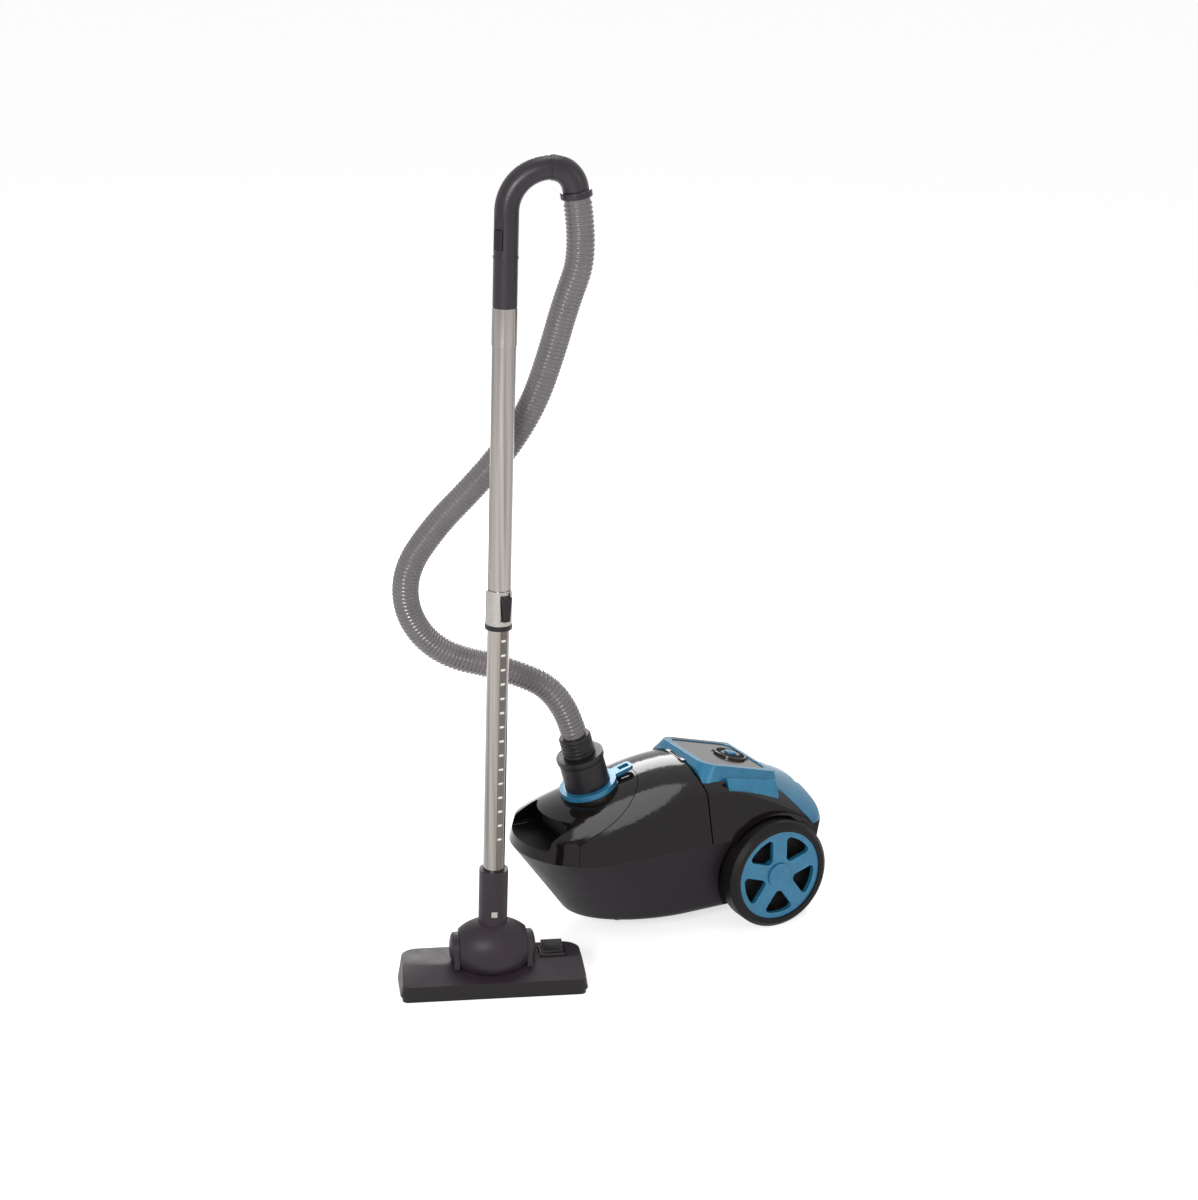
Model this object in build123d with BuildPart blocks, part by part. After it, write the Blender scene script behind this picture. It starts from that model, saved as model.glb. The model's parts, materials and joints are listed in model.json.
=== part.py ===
from build123d import *
from math import atan2, cos, degrees, radians, sin, sqrt, tan
import os

# Canister vacuum cleaner with hose, telescopic wand and floor nozzle.
# Millimetres, +Z up, floor at z = 0, nose of the canister towards -Y.

os.makedirs("parts", exist_ok=True)

# Where the two groups stand
CANISTER_X = -42.0
CANISTER_Y = 265.0
WAND_X = 85.5
WAND_Y = -229.0
NOZZLE_TURN = 69.0
WAND_LEAN = 1.2

# Fits and walls
WALL = 3.0
RUN_FIT = 0.05
PRESS_GAP = 0.02
AIR = 0.3
SEAM = 0.9
LID_GAP = 2.4

# Canister body, measured from the rear axle
BASE_Z = 32.0
SEAM_Z = 150.0
HALF_WIDTH = 118.0
NOSE_Y = -385.0
NOSE_DEPTH = 110.0
TAIL_Y = 108.0
TAIL_CORNER = 40.0
BASE_HALF_WIDTH = 104.0
BASE_NOSE_Y = -298.0
BASE_NOSE_DEPTH = 175.0
BASE_TAIL_Y = 92.0
BASE_TAIL_CORNER = 34.0
BASE_ROUND = 16.0
SIDE_DRAFT = 14.4
FORM_TOP = 300.0
FORM_LOW = 20.0
CROWN_RADIUS = 170.0
CROWN_HALF = 124.0
NOSE_TOP = (-425.0, 112.0)
BROW_TOP = (-372.0, 184.0)
INLET_TOP = (-300.0, 219.0)
LID_FRONT_TOP = (-205.0, 243.0)
LID_REAR_TOP = (-108.0, 258.0)
PANEL_TOP = (0.0, 235.0)
TAIL_TOP = (72.0, 205.0)
REAR_TOP = (145.0, 120.0)
CROWN = (NOSE_TOP, BROW_TOP, INLET_TOP, LID_FRONT_TOP, LID_REAR_TOP, PANEL_TOP, TAIL_TOP, REAR_TOP)

# Fascia tongue, lid seam and tail seam
TONGUE_HALF = 100.0
TONGUE_REAR_Y = -165.0
TONGUE_DEPTH = 130.0
TONGUE_DRAFT = 12.0
LID_SEAM_Y = -108.0
TAIL_SEAM_Y = 31.0
TAIL_SEAM_Z = 207.0
TAIL_SLANT = 38.0

# Wheels
WHEEL_R = 87.0
WHEEL_INNER_X = 104.0
WHEEL_OUTER_X = 146.0
WHEEL_SHOULDER = 7.0
RIM_R = 72.0
RIM_THICK = 8.0
RIM_DISH = 3.0
RIM_WINDOW_OUTER = 63.0
RIM_WINDOW_INNER = 27.0
RIM_WINDOW_ROUND = 6.0
SPOKE_COUNT = 5
SPOKE_WIDTH = 25.0
HUB_CAP_R = 20.0
HUB_R = 13.0
WEB_X = 118.0
WEB_THICK = 4.0
AXLE_R = 5.0
AXLE_INNER_X = 86.0
AXLE_BOSS_R = 12.0
WELL_GAP = 5.0
WELL_X = 100.0
FENDER_X = 124.0

# Front caster
CASTER_Y = -222.0
CASTER_TRAIL = 12.0
CASTER_R = 17.0
CASTER_WIDTH = 18.0
CASTER_AXLE_R = 2.5
CASTER_PIN_R = 5.0
CASTER_ARM = 3.5
CASTER_PLATE_R = 25.0
CASTER_PLATE = 4.5
POCKET_R = 35.0
POCKET_HEIGHT = 12.0

# Inlet, connector and hose end
INLET_Y = -262.0
INLET_Z = 232.0
INLET_LEAN = 16.0
RING_R = 45.0
RING_HEIGHT = 9.0
TAB_REACH = 78.0
TAB_WIDTH = 22.0
TAB_THICK = 6.0
TAB_SLOT_WIDTH = 10.0
TAB_SLOT_LENGTH = 17.0
CONNECTOR_R = 35.0
CONNECTOR_HEIGHT = 62.0
CONNECTOR_LIP = 2.0
CONNECTOR_WALL = 4.0
SPIGOT_R = 24.0
SPIGOT_DEPTH = 30.0
CUFF_R = 25.0
CUFF_HEIGHT = 33.0
CUFF_RIBS = 5
CUFF_GROOVE = 1.6
DUCT_R = 27.0
DUCT_DEPTH = 70.0
DUCT_WALL = 2.5
DUCT_FLANGE = 92.0
DUCT_FLANGE_THICK = 4.0
DUCT_TOP = -11.0
DUCT_RIM_R = 38.0
SEAL_THICK = 2.0
SEAT_R = 46.0
SEAT_DEPTH = 14.0
RAIL = 3.5
RAIL_LIP = 4.0

# Front grip recess and lid latch
GRIP_HALF = 62.0
GRIP_LOW_Z = 166.0
GRIP_HIGH_Z = 203.0
GRIP_BACK_Y = -322.0
GRIP_ROUND = 8.0
LATCH_HALF = 40.0
LATCH_LOW_Z = 173.0
LATCH_HIGH_Z = 193.0
LATCH_BAR = 6.0
LATCH_THICK = 5.0

# Lid hinge
HINGE_INSET = 1.5
HINGE_DEPTH = 2.6
HINGE_PIN_R = 1.5
HINGE_BARREL_R = 3.2
HINGE_LID_HALF = 16.0
HINGE_BRACKET_LENGTH = 10.0

# Top frame, control panel, dial and pedals
POD_TOP_HALF = 71.0
POD_TOP_Y = -98.0
POD_TOP_Z = 265.0
POD_SLOPE = 15.2
POD_DRAFT = 23.0
POD_DEPTH = 44.0
POD_CORNER = 24.0
SKIRT_DEPTH = 30.0
SKIRT_WALL = 3.0
PANEL_HALF = 60.0
PANEL_FRONT_Y = -86.0
PANEL_REAR_Y = 24.0
PANEL_CORNER = 14.0
PANEL_THICK = 4.0
PANEL_SINK = 1.5
PANEL_LEDGE = 4.0
DIAL_Y = -8.0
DIAL_R = 26.0
DIAL_HEIGHT = 6.0
DIAL_CAP_R = 10.0
DIAL_CAP_HEIGHT = 3.0
DIAL_SHAFT_R = 4.0
DIAL_SHAFT = 12.0
DISH_R = 30.0
DISH_DEPTH = 1.8
PEDAL_INNER_X = 83.5
PEDAL_OUTER_X = 97.0
PEDAL_FLAT = 4.0
PEDAL_FRONT_Y = -66.0
PEDAL_REAR_Y = 24.0
PEDAL_FRONT_TOP = 242.0
PEDAL_REAR_TOP = 222.0
PEDAL_FACE_DROP = 22.0
PEDAL_SKIRT = 14.0
PEDAL_GAP = 0.7
PEDAL_TRAVEL = 5.0
STEM_WIDTH = 8.0
STEM_Y = -22.0

# Tail grille, exhaust filter and cord outlet
GRILLE_HALF = 40.0
GRILLE_HEIGHT = 22.0
GRILLE_THICK = 5.0
GRILLE_SLATS = 5
GRILLE_GAP = 2.4
GRILLE_RIM = 3.0
GRILLE_Y = 90.0
GRILLE_Z = 176.0
GRILLE_SLANT = 40.0
FILTER_THICK = 10.0
OUTLET_X = -52.0
OUTLET_Z = 104.0
OUTLET_R = 9.0
OUTLET_BORE = 5.0
OUTLET_FLANGE = 2.0
OUTLET_FLANGE_R = 12.0
OUTLET_LENGTH = 12.0

# Bag and filter in the front chamber
BAG_MARGIN = 7.0
BAG_TOP = 132.0
BAG_REAR_Y = -128.0
BAG_ROUND = 14.0
COLLAR_SIZE = 84.0
COLLAR_THICK = 3.0
COLLAR_NECK_R = 30.0
FILTER_X = -36.0
FILTER_Z = 98.0
FILTER_SIZE = 84.0
FILTER_PAD = 8.0
FILTER_RIM = 5.0

# Suction motor and cord reel in the rear chamber
MOTOR_X = -36.0
MOTOR_Z = 98.0
MOTOR_INLET_R = 30.0
MOUNT_RING_R = 50.0
MOUNT_THICK = 9.0
FAN_R = 55.0
FAN_LENGTH = 36.0
FAN_INLET_R = 19.0
IMPELLER_R = 49.0
IMPELLER_THICK = 16.0
MOTOR_R = 44.0
MOTOR_LENGTH = 84.0
MOTOR_SKIN = 3.0
ARMATURE_R = 24.0
SHAFT_R = 4.0
REEL_X = 20.0
REEL_WIDTH = 54.0
REEL_R = 66.0
REEL_CORE_R = 30.0
REEL_FLANGE = 3.0
REEL_Y = -6.0
REEL_Z = 108.0
REEL_AXLE_R = 6.0
REEL_AXLE_FLANGE_R = 9.0
REEL_AXLE_FLANGE = 6.0
BOARD_WIDTH = 62.0
BOARD_LENGTH = 52.0
BOARD_THICK = 1.6
POST_R = 3.5
POST_LENGTH = 14.0
POST_SPREAD = 22.0
SWITCH_WIDTH = 12.0
SWITCH_LENGTH = 20.0
SWITCH_HEIGHT = 14.0
SHELF_THICK = 3.0
SHELF_Z = 166.0
SCREW_HEAD_R = 4.0
SCREW_HEAD = 3.0
SCREW_R = 2.0
SCREW_LENGTH = 18.0
SCREW_BOSS_R = 7.0
SCREW_BOSS_HEIGHT = 24.0
SCREW_PLACES = ((-84.0, -94.0), (84.0, -94.0), (-58.0, 68.0), (58.0, 68.0))

# Hose
HOSE_R = 20.0
HOSE_VALLEY_R = 18.4
HOSE_BORE_R = 16.5
HOSE_RIBS = 100
HOSE_END_RUN = 76.0
HOSE_STRAIGHT = 40.0
HOSE_RIB_CREST = 0.35
HOSE_RIB_FLANK = 0.2
BEND_SHARE = 0.45
HOSE_ROUTE = (
    (-75.0, -128.0, 440.0),
    (-105.0, -213.0, 463.0),
    (-113.0, -268.0, 525.0),
    (-97.0, -282.0, 607.0),
    (-59.0, -248.0, 684.0),
    (-21.0, -206.0, 746.0),
    (13.0, -168.0, 808.0),
    (45.0, -139.0, 880.0),
    (72.0, -125.0, 959.0),
    (99.0, -117.0, 1036.0),
)

# Wand tubes, heights along the wand from the floor
TUBE_WALL = 0.9
LOWER_TUBE_R = 16.0
LOWER_TUBE_FOOT = 150.0
LOWER_TUBE_TOP = 700.0
UPPER_TUBE_TOP = 1038.0
SOCKET_LENGTH = 54.0
SOCKET_SWELL = 0.9
NOTCH_COUNT = 15
NOTCH_PITCH = 22.0
NOTCH_FIRST = 243.0
NOTCH_WIDTH = 8.0
NOTCH_HEIGHT = 4.0
NOTCH_TURN = -65.0
SLEEVE_FOOT = 574.0
SLEEVE_TOP = 626.0
SLEEVE_WALL = 2.2
SLEEVE_RING = 7.0
SLEEVE_RING_SWELL = 0.8
SLIDER_FOOT = 582.0
SLIDER_LENGTH = 36.0
SLIDER_WIDTH = 16.0
SLIDER_TAPER = 5.0
SLIDER_PROUD = 4.0
SLIDER_TRAVEL = 6.0

# Handle, in the wand's own plane
GRIP_R = 17.4
GRIP_BORE = 13.8
GRIP_TOP = 1172.0
GRIP_BEND_R = 62.0
GRIP_BEND = 88.0
GRIP_RING_Z = 1107.0
GRIP_RING_SWELL = 0.7
GRIP_RING_HEIGHT = 5.0
GRIP_PLUG = 30.0
ELBOW_R = 18.6
ELBOW_BEND_R = 34.0
ELBOW_BEND = 82.0
ELBOW_LEG = 4.0
TOP_CUFF_R = 22.5
TOP_CUFF_HEIGHT = 10.0
TOP_SPIGOT_R = 15.5
TOP_SPIGOT = 14.0
TOP_BORE = 12.5
AIR_SLOT_FOOT = 1120.0
AIR_SLOT_LENGTH = 46.0
AIR_SLOT_WIDTH = 15.0
AIR_SLOT_DEPTH = 2.0
AIR_SLIDER_LENGTH = 28.0
AIR_SLIDER_PROUD = 2.4
AIR_SLOT_TURN = 225.0
AIR_HOLE_WIDTH = 7.0
AIR_HOLE_LENGTH = 12.0

# Floor nozzle, front of the nozzle towards local -Y
NOZZLE_LENGTH = 280.0
NOZZLE_FRONT = 46.0
NOZZLE_REAR = 52.0
NOZZLE_LOW_Z = 8.0
NOZZLE_BROW_Z = 26.0
NOZZLE_TOP_Z = 44.0
NOZZLE_TOP_FRONT = 4.0
NOZZLE_REAR_ROUND = 26.0
NOZZLE_FRONT_ROUND = 12.0
NOZZLE_EDGE = 2.5
NOZZLE_DRAFT = 9.0
NOZZLE_WALL = 3.0
SOLE_MARGIN = 3.0
BALL_HALF = 50.0
BALL_SWELL = 64.0
BALL_R = 46.0
BALL_Z = 66.0
BALL_GAP = 0.6
CHEEK_THICK = 8.0
CHEEK_R = 24.0
TRUNNION_R = 4.0
TRUNNION_DEPTH = 10.0
NECK_R = 21.5
NECK_TOP = 192.0
BUTTON_Z = 126.0
BUTTON_SIZE = 9.0
BUTTON_PROUD = 1.2
BUTTON_DEPTH = 3.0
BUTTON_TRAVEL = 1.5
SUCTION_HALF = 105.0
SUCTION_DEPTH = 14.0
SUCTION_Y = -8.0
BRUSH_HALF = 112.0
BRUSH_THICK = 5.0
BRUSH_Y = -30.0
BRUSH_HEIGHT = 11.0
BRUSH_FLOOR_GAP = 0.4
ROCKER_X = 92.0
ROCKER_Y = 18.0
ROCKER_WIDTH = 38.0
ROCKER_LENGTH = 36.0
ROCKER_HEIGHT = 10.0
ROCKER_SINK = 6.0
ROCKER_WELL = 10.0
ROCKER_PIN_R = 2.5
ROCKER_PIN_SEAT = 4.0
ROCKER_PIN_DROP = 5.0
ROCKER_GAP = 1.2
AIRWAY_R = 14.0

# Derived places
AXLE_Z = WHEEL_R
WELL_R = WHEEL_R + WELL_GAP
BULKHEAD_Y = LID_SEAM_Y + LID_GAP
HINGE_Y = LID_SEAM_Y - HINGE_INSET
HINGE_Z = LID_REAR_TOP[1] - HINGE_DEPTH
FLOOR_Z = BASE_Z + WALL
LATCH_Z = (LATCH_LOW_Z + LATCH_HIGH_Z) / 2
LATCH_HEIGHT = LATCH_HIGH_Z - LATCH_LOW_Z
UPPER_TUBE_BORE = LOWER_TUBE_R + RUN_FIT
UPPER_TUBE_R = UPPER_TUBE_BORE + TUBE_WALL
RING_BORE = CONNECTOR_R + AIR
INLET_DIRECTION = (0.0, -sin(radians(INLET_LEAN)), cos(radians(INLET_LEAN)))


def level(z):
    """Plan plane of the canister at height z."""
    return Plane(origin=(CANISTER_X, CANISTER_Y, z))


def side(x):
    """Plane across the canister's width at x, with local axes Y and Z."""
    return Plane(origin=(CANISTER_X + x, CANISTER_Y, 0), x_dir=(0, 1, 0), z_dir=(1, 0, 0))


def cross(y):
    """Cross-section plane of the canister at y, with local axes X and Z."""
    return Plane(origin=(CANISTER_X, CANISTER_Y + y, 0), x_dir=(1, 0, 0), z_dir=(0, -1, 0))


def inlet(height):
    """Plane square to the inlet axis, at a height above the lock ring's seat."""
    return Plane(
        origin=(
            CANISTER_X,
            CANISTER_Y + INLET_Y + height * INLET_DIRECTION[1],
            INLET_Z + height * INLET_DIRECTION[2],
        ),
        x_dir=(1, 0, 0),
        z_dir=INLET_DIRECTION,
    )


def tail_plane(gap):
    """Slanted plane between motor cover and tail cover, moved back by a gap."""
    normal = (0.0, cos(radians(TAIL_SLANT)), sin(radians(TAIL_SLANT)))
    return Plane(
        origin=(
            CANISTER_X,
            CANISTER_Y + TAIL_SEAM_Y + gap * normal[1],
            TAIL_SEAM_Z + gap * normal[2],
        ),
        x_dir=(1, 0, 0),
        z_dir=normal,
    )


def pod_plane(depth):
    """Sloping plane of the control frame's top, sunk by a depth."""
    normal = (0.0, sin(radians(POD_SLOPE)), cos(radians(POD_SLOPE)))
    return Plane(
        origin=(
            CANISTER_X,
            CANISTER_Y + POD_TOP_Y - depth * normal[1],
            POD_TOP_Z - depth * normal[2],
        ),
        x_dir=(1, 0, 0),
        z_dir=normal,
    )


def pod_run(y):
    """Distance down the sloping pod plane that reaches the canister's y."""
    return (y - POD_TOP_Y) / cos(radians(POD_SLOPE))


LATERAL = (cos(radians(NOZZLE_TURN)), sin(radians(NOZZLE_TURN)), 0.0)
LEAN_SIN = sin(radians(WAND_LEAN))
LEAN_COS = cos(radians(WAND_LEAN))
WAND_UP = (LATERAL[0] * LEAN_SIN, LATERAL[1] * LEAN_SIN, LEAN_COS)
NOZZLE_FRAME = Plane(origin=(WAND_X, WAND_Y, 0), x_dir=LATERAL, z_dir=(0, 0, 1))
BALL_CENTRE = NOZZLE_FRAME.from_local_coords((0, 0, BALL_Z))
WAND_FOOT = BALL_CENTRE - Vector(*WAND_UP) * BALL_Z
WAND_X_DIR = (LATERAL[0] * LEAN_COS, LATERAL[1] * LEAN_COS, -LEAN_SIN)
WAND = Plane(origin=WAND_FOOT, x_dir=WAND_X_DIR, z_dir=WAND_UP)
WAND_FACE = Plane(origin=WAND_FOOT, x_dir=WAND_X_DIR, z_dir=-WAND.y_dir)
NOZZLE_SIDE = Plane(origin=NOZZLE_FRAME.origin, x_dir=NOZZLE_FRAME.y_dir, z_dir=LATERAL)
NOZZLE_FACE = Plane(origin=NOZZLE_FRAME.origin, x_dir=LATERAL, z_dir=-NOZZLE_FRAME.y_dir)
BALL_AXIS = Axis(BALL_CENTRE, LATERAL)


def body_plan(z, half, nose, depth, tail, corner):
    """Closed plan outline with an elliptical nose and rounded rear corners."""
    with BuildSketch(level(z)) as plan:
        with BuildLine():
            Line((-(half - corner), tail), (half - corner, tail))
            CenterArc((half - corner, tail - corner), corner, 90, -90)
            Line((half, tail - corner), (half, nose + depth))
            EllipticalCenterArc((0, nose + depth), half, depth, start_angle=180, arc_size=180)
            Line((-half, nose + depth), (-half, tail - corner))
            CenterArc((-(half - corner), tail - corner), corner, 180, -90)
        make_face()
    return plan.sketch


def tub_plan(z, inset):
    """Plan of the lower housing at height z, drawn in by an inset."""
    rise = (z - BASE_Z) / (SEAM_Z - BASE_Z)
    half = BASE_HALF_WIDTH + rise * (HALF_WIDTH - BASE_HALF_WIDTH)
    nose = BASE_NOSE_Y + rise * (NOSE_Y - BASE_NOSE_Y)
    depth = BASE_NOSE_DEPTH + rise * (NOSE_DEPTH - BASE_NOSE_DEPTH)
    tail = BASE_TAIL_Y + rise * (TAIL_Y - BASE_TAIL_Y)
    corner = BASE_TAIL_CORNER + rise * (TAIL_CORNER - BASE_TAIL_CORNER)
    return body_plan(z, half - inset, nose + inset, depth - inset, tail - inset, corner - inset)


def tub_form(inset, low, high, rounding):
    """Solid of the lower housing between two heights, with a rounded base edge."""
    with BuildPart() as form:
        add(tub_plan(low, inset))
        add(tub_plan(high, inset))
        loft(ruled=True)
        fillet(form.faces().sort_by(Axis.Z)[0].edges(), rounding)
    return form.part


def upper_form(inset, low):
    """Solid of the canister above the seam, drawn in by an inset."""
    sag = CROWN_RADIUS - sqrt(CROWN_RADIUS**2 - CROWN_HALF**2)
    with BuildPart() as form:
        for y, top in CROWN:
            with BuildSketch(cross(y)):
                with BuildLine():
                    shoulder = top - inset - sag
                    ThreePointArc((-CROWN_HALF, shoulder), (0, top - inset), (CROWN_HALF, shoulder))
                    Polyline(
                        (CROWN_HALF, shoulder),
                        (CROWN_HALF, FORM_LOW),
                        (-CROWN_HALF, FORM_LOW),
                        (-CROWN_HALF, shoulder),
                    )
                make_face()
        loft()
        for z in (low, FORM_TOP):
            shrink = inset + (z - SEAM_Z) * tan(radians(SIDE_DRAFT))
            plan = body_plan(
                z,
                HALF_WIDTH - shrink,
                NOSE_Y + shrink,
                NOSE_DEPTH - shrink,
                TAIL_Y - shrink,
                TAIL_CORNER - inset,
            )
            add(plan)
        loft(ruled=True, mode=Mode.INTERSECT)
    return form.part


def tongue_form(grow):
    """Drafted block that divides the fascia from the lid, grown by a gap."""
    with BuildPart() as form:
        for z in (SEAM_Z - WALL, FORM_TOP):
            shrink = (z - SEAM_Z) * tan(radians(TONGUE_DRAFT)) - grow
            half = TONGUE_HALF - shrink
            depth = TONGUE_DEPTH - shrink
            centre = TONGUE_REAR_Y - TONGUE_DEPTH
            front = NOSE_Y - TONGUE_HALF
            with BuildSketch(level(z)):
                with BuildLine():
                    EllipticalCenterArc((0, centre), half, depth, start_angle=0, arc_size=180)
                    Polyline((-half, centre), (-half, front), (half, front), (half, centre))
                make_face()
        loft(ruled=True)
    return form.part


def wells(radius, inner_x, rear_top):
    """Wheel wells of both sides; below rear_top they are open to the rear."""
    with BuildPart() as form:
        for hand in (-1, 1):
            with BuildSketch(side(hand * inner_x)):
                with Locations((0, AXLE_Z)):
                    Circle(radius)
                if rear_top > 0:
                    with Locations((0, -AXLE_Z)):
                        Rectangle(2 * TAIL_Y, rear_top + AXLE_Z, align=(Align.MIN, Align.MIN))
            extrude(amount=hand * HALF_WIDTH)
    return form.part


def axle_line(y, z):
    """Axis across the canister at y and z."""
    return Axis((CANISTER_X, CANISTER_Y + y, z), (1, 0, 0))


def keep_behind(plane):
    """Half-space block on the far side of a plane, for cutting."""
    with BuildPart(mode=Mode.PRIVATE) as block:
        with BuildSketch(plane):
            Rectangle(6 * HALF_WIDTH, 8 * HALF_WIDTH)
        extrude(amount=4 * HALF_WIDTH)
    return block.part


def tail_block(gap):
    """Region behind the tail seam: a steep upper cut that turns into the slant."""
    with BuildPart(mode=Mode.PRIVATE) as block:
        add(keep_behind(tail_plane(gap)))
        upright = Plane(origin=(CANISTER_X, CANISTER_Y + TAIL_SEAM_Y + gap, 0), z_dir=(0, 1, 0))
        add(keep_behind(upright), mode=Mode.INTERSECT)
    return block.part


def radial(turn, height, radius):
    """Plane on the wand facing outwards at a turn, local Y along the wand."""
    out = (cos(radians(turn)), sin(radians(turn)))
    return Plane(
        origin=WAND.from_local_coords((radius * out[0], radius * out[1], height)),
        x_dir=WAND.x_dir * -out[1] + WAND.y_dir * out[0],
        z_dir=WAND.x_dir * out[0] + WAND.y_dir * out[1],
    )


TAIL_LEAN = degrees(atan2(TAIL_Y - BASE_TAIL_Y, SEAM_Z - BASE_Z))
OUTLET_Y = BASE_TAIL_Y + (OUTLET_Z - BASE_Z) * tan(radians(TAIL_LEAN))
OUTLET_NORMAL = (0.0, cos(radians(TAIL_LEAN)), -sin(radians(TAIL_LEAN)))
OUTLET_FACE = Plane(
    origin=(CANISTER_X + OUTLET_X, CANISTER_Y + OUTLET_Y, OUTLET_Z),
    x_dir=(1, 0, 0),
    z_dir=OUTLET_NORMAL,
)

UPPER_OUTER = upper_form(0, SEAM_Z)
UPPER_INNER = upper_form(WALL, SEAM_Z - WALL)
FASCIA_BLOCK = tongue_form(0)
FASCIA_CORE = tongue_form(-WALL)
LID_GAP_BLOCK = tongue_form(SEAM)
BEHIND_LID = keep_behind(Plane(origin=(CANISTER_X, CANISTER_Y + LID_SEAM_Y, 0), z_dir=(0, 1, 0)))
BEHIND_BULKHEAD = keep_behind(
    Plane(origin=(CANISTER_X, CANISTER_Y + BULKHEAD_Y, 0), z_dir=(0, 1, 0))
)
TAIL_BLOCK = tail_block(0)
TAIL_GAP_BLOCK = tail_block(SEAM)

# Lower housing: tub with bulkhead, wheel wells, caster pocket and bosses
with BuildPart() as housing_cavity:
    add(tub_form(WALL, FLOOR_Z, SEAM_Z + WALL, BASE_ROUND - WALL))
    add(wells(WELL_R + WALL, WELL_X - WALL, SEAM_Z + WALL), mode=Mode.SUBTRACT)
    with BuildSketch(cross(BULKHEAD_Y)):
        Rectangle(3 * HALF_WIDTH, 2 * FORM_TOP)
    extrude(amount=-WALL, mode=Mode.SUBTRACT)
    with BuildSketch(level(BASE_Z)):
        with Locations((0, CASTER_Y)):
            Circle(POCKET_R + WALL)
    extrude(amount=POCKET_HEIGHT + WALL, mode=Mode.SUBTRACT)
    with BuildSketch(level(BASE_Z)):
        with Locations(*SCREW_PLACES):
            Circle(SCREW_BOSS_R)
    extrude(amount=SCREW_BOSS_HEIGHT, mode=Mode.SUBTRACT)
    for hand in (-1, 1):
        with BuildSketch(side(hand * AXLE_INNER_X)):
            with Locations((0, AXLE_Z)):
                Circle(AXLE_BOSS_R)
        extrude(amount=hand * (WELL_X - AXLE_INNER_X), mode=Mode.SUBTRACT)

with BuildPart() as lower_housing:
    add(tub_form(0, BASE_Z, SEAM_Z, BASE_ROUND))
    add(housing_cavity.part, mode=Mode.SUBTRACT)
    add(wells(WELL_R, WELL_X, SEAM_Z + WALL), mode=Mode.SUBTRACT)
    with BuildSketch(cross(BULKHEAD_Y - WALL)):
        with Locations((MOTOR_X, MOTOR_Z)):
            Circle(MOTOR_INLET_R)
    extrude(amount=-3 * WALL, mode=Mode.SUBTRACT)
    with BuildSketch(level(BASE_Z)):
        with Locations((0, CASTER_Y)):
            Circle(POCKET_R)
    extrude(amount=POCKET_HEIGHT, mode=Mode.SUBTRACT)
    with BuildSketch(level(BASE_Z)):
        with Locations((0, CASTER_Y)):
            Circle(CASTER_PIN_R + PRESS_GAP)
    extrude(amount=POCKET_HEIGHT + 2 * WALL, mode=Mode.SUBTRACT)
    with BuildSketch(level(BASE_Z)):
        with Locations(*SCREW_PLACES):
            Circle(SCREW_R + PRESS_GAP)
    extrude(amount=SCREW_LENGTH + SCREW_HEAD, mode=Mode.SUBTRACT)
    with BuildSketch(level(BASE_Z)):
        with Locations(*SCREW_PLACES):
            Circle(SCREW_HEAD_R + AIR)
    extrude(amount=SCREW_HEAD, mode=Mode.SUBTRACT)
    with BuildSketch(side(-HALF_WIDTH)):
        with Locations((0, AXLE_Z)):
            Circle(AXLE_R + PRESS_GAP)
    extrude(amount=2 * HALF_WIDTH, mode=Mode.SUBTRACT)
    with BuildSketch(OUTLET_FACE.offset(-OUTLET_LENGTH)):
        Circle(OUTLET_R + PRESS_GAP)
    extrude(amount=2 * OUTLET_LENGTH, mode=Mode.SUBTRACT)

# Front fascia: walled nose with the inlet hole and the grip recess
with BuildPart() as grip_block:
    with BuildSketch(cross(GRIP_BACK_Y)) as grip_face:
        with Locations((0, (GRIP_LOW_Z + GRIP_HIGH_Z) / 2)):
            RectangleRounded(2 * GRIP_HALF, GRIP_HIGH_Z - GRIP_LOW_Z, GRIP_ROUND)
    extrude(amount=GRIP_BACK_Y - NOSE_Y + HALF_WIDTH)

with BuildPart() as grip_walls:
    with BuildSketch(cross(GRIP_BACK_Y + WALL)):
        with Locations((0, (GRIP_LOW_Z + GRIP_HIGH_Z) / 2)):
            RectangleRounded(
                2 * (GRIP_HALF + WALL), GRIP_HIGH_Z - GRIP_LOW_Z + 2 * WALL, GRIP_ROUND + WALL
            )
    extrude(amount=GRIP_BACK_Y - NOSE_Y + HALF_WIDTH)

with BuildPart() as fascia_cavity:
    add(UPPER_INNER)
    add(FASCIA_CORE, mode=Mode.INTERSECT)
    add(grip_walls.part, mode=Mode.SUBTRACT)

with BuildPart() as front_fascia:
    add(UPPER_OUTER)
    add(FASCIA_BLOCK, mode=Mode.INTERSECT)
    add(fascia_cavity.part, mode=Mode.SUBTRACT)
    with BuildSketch(inlet(-SEAT_DEPTH)):
        Circle(SEAT_R)
    extrude(amount=SEAT_DEPTH - AIR)
    add(grip_block.part, mode=Mode.SUBTRACT)
    with BuildSketch(inlet(DUCT_TOP)):
        Circle(CONNECTOR_R + AIR)
    extrude(amount=SEAT_DEPTH, mode=Mode.SUBTRACT)
    with BuildSketch(inlet(-DUCT_DEPTH / 2)):
        Circle(DUCT_RIM_R + AIR)
    extrude(amount=DUCT_DEPTH / 2 + DUCT_TOP, mode=Mode.SUBTRACT)
    with BuildSketch(cross(GRIP_BACK_Y + 2 * WALL)):
        with Locations((0, LATCH_Z)):
            Rectangle(2 * (LATCH_HALF + PEDAL_GAP), LATCH_HEIGHT + 2 * PEDAL_GAP)
    extrude(amount=4 * WALL, mode=Mode.SUBTRACT)

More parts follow.
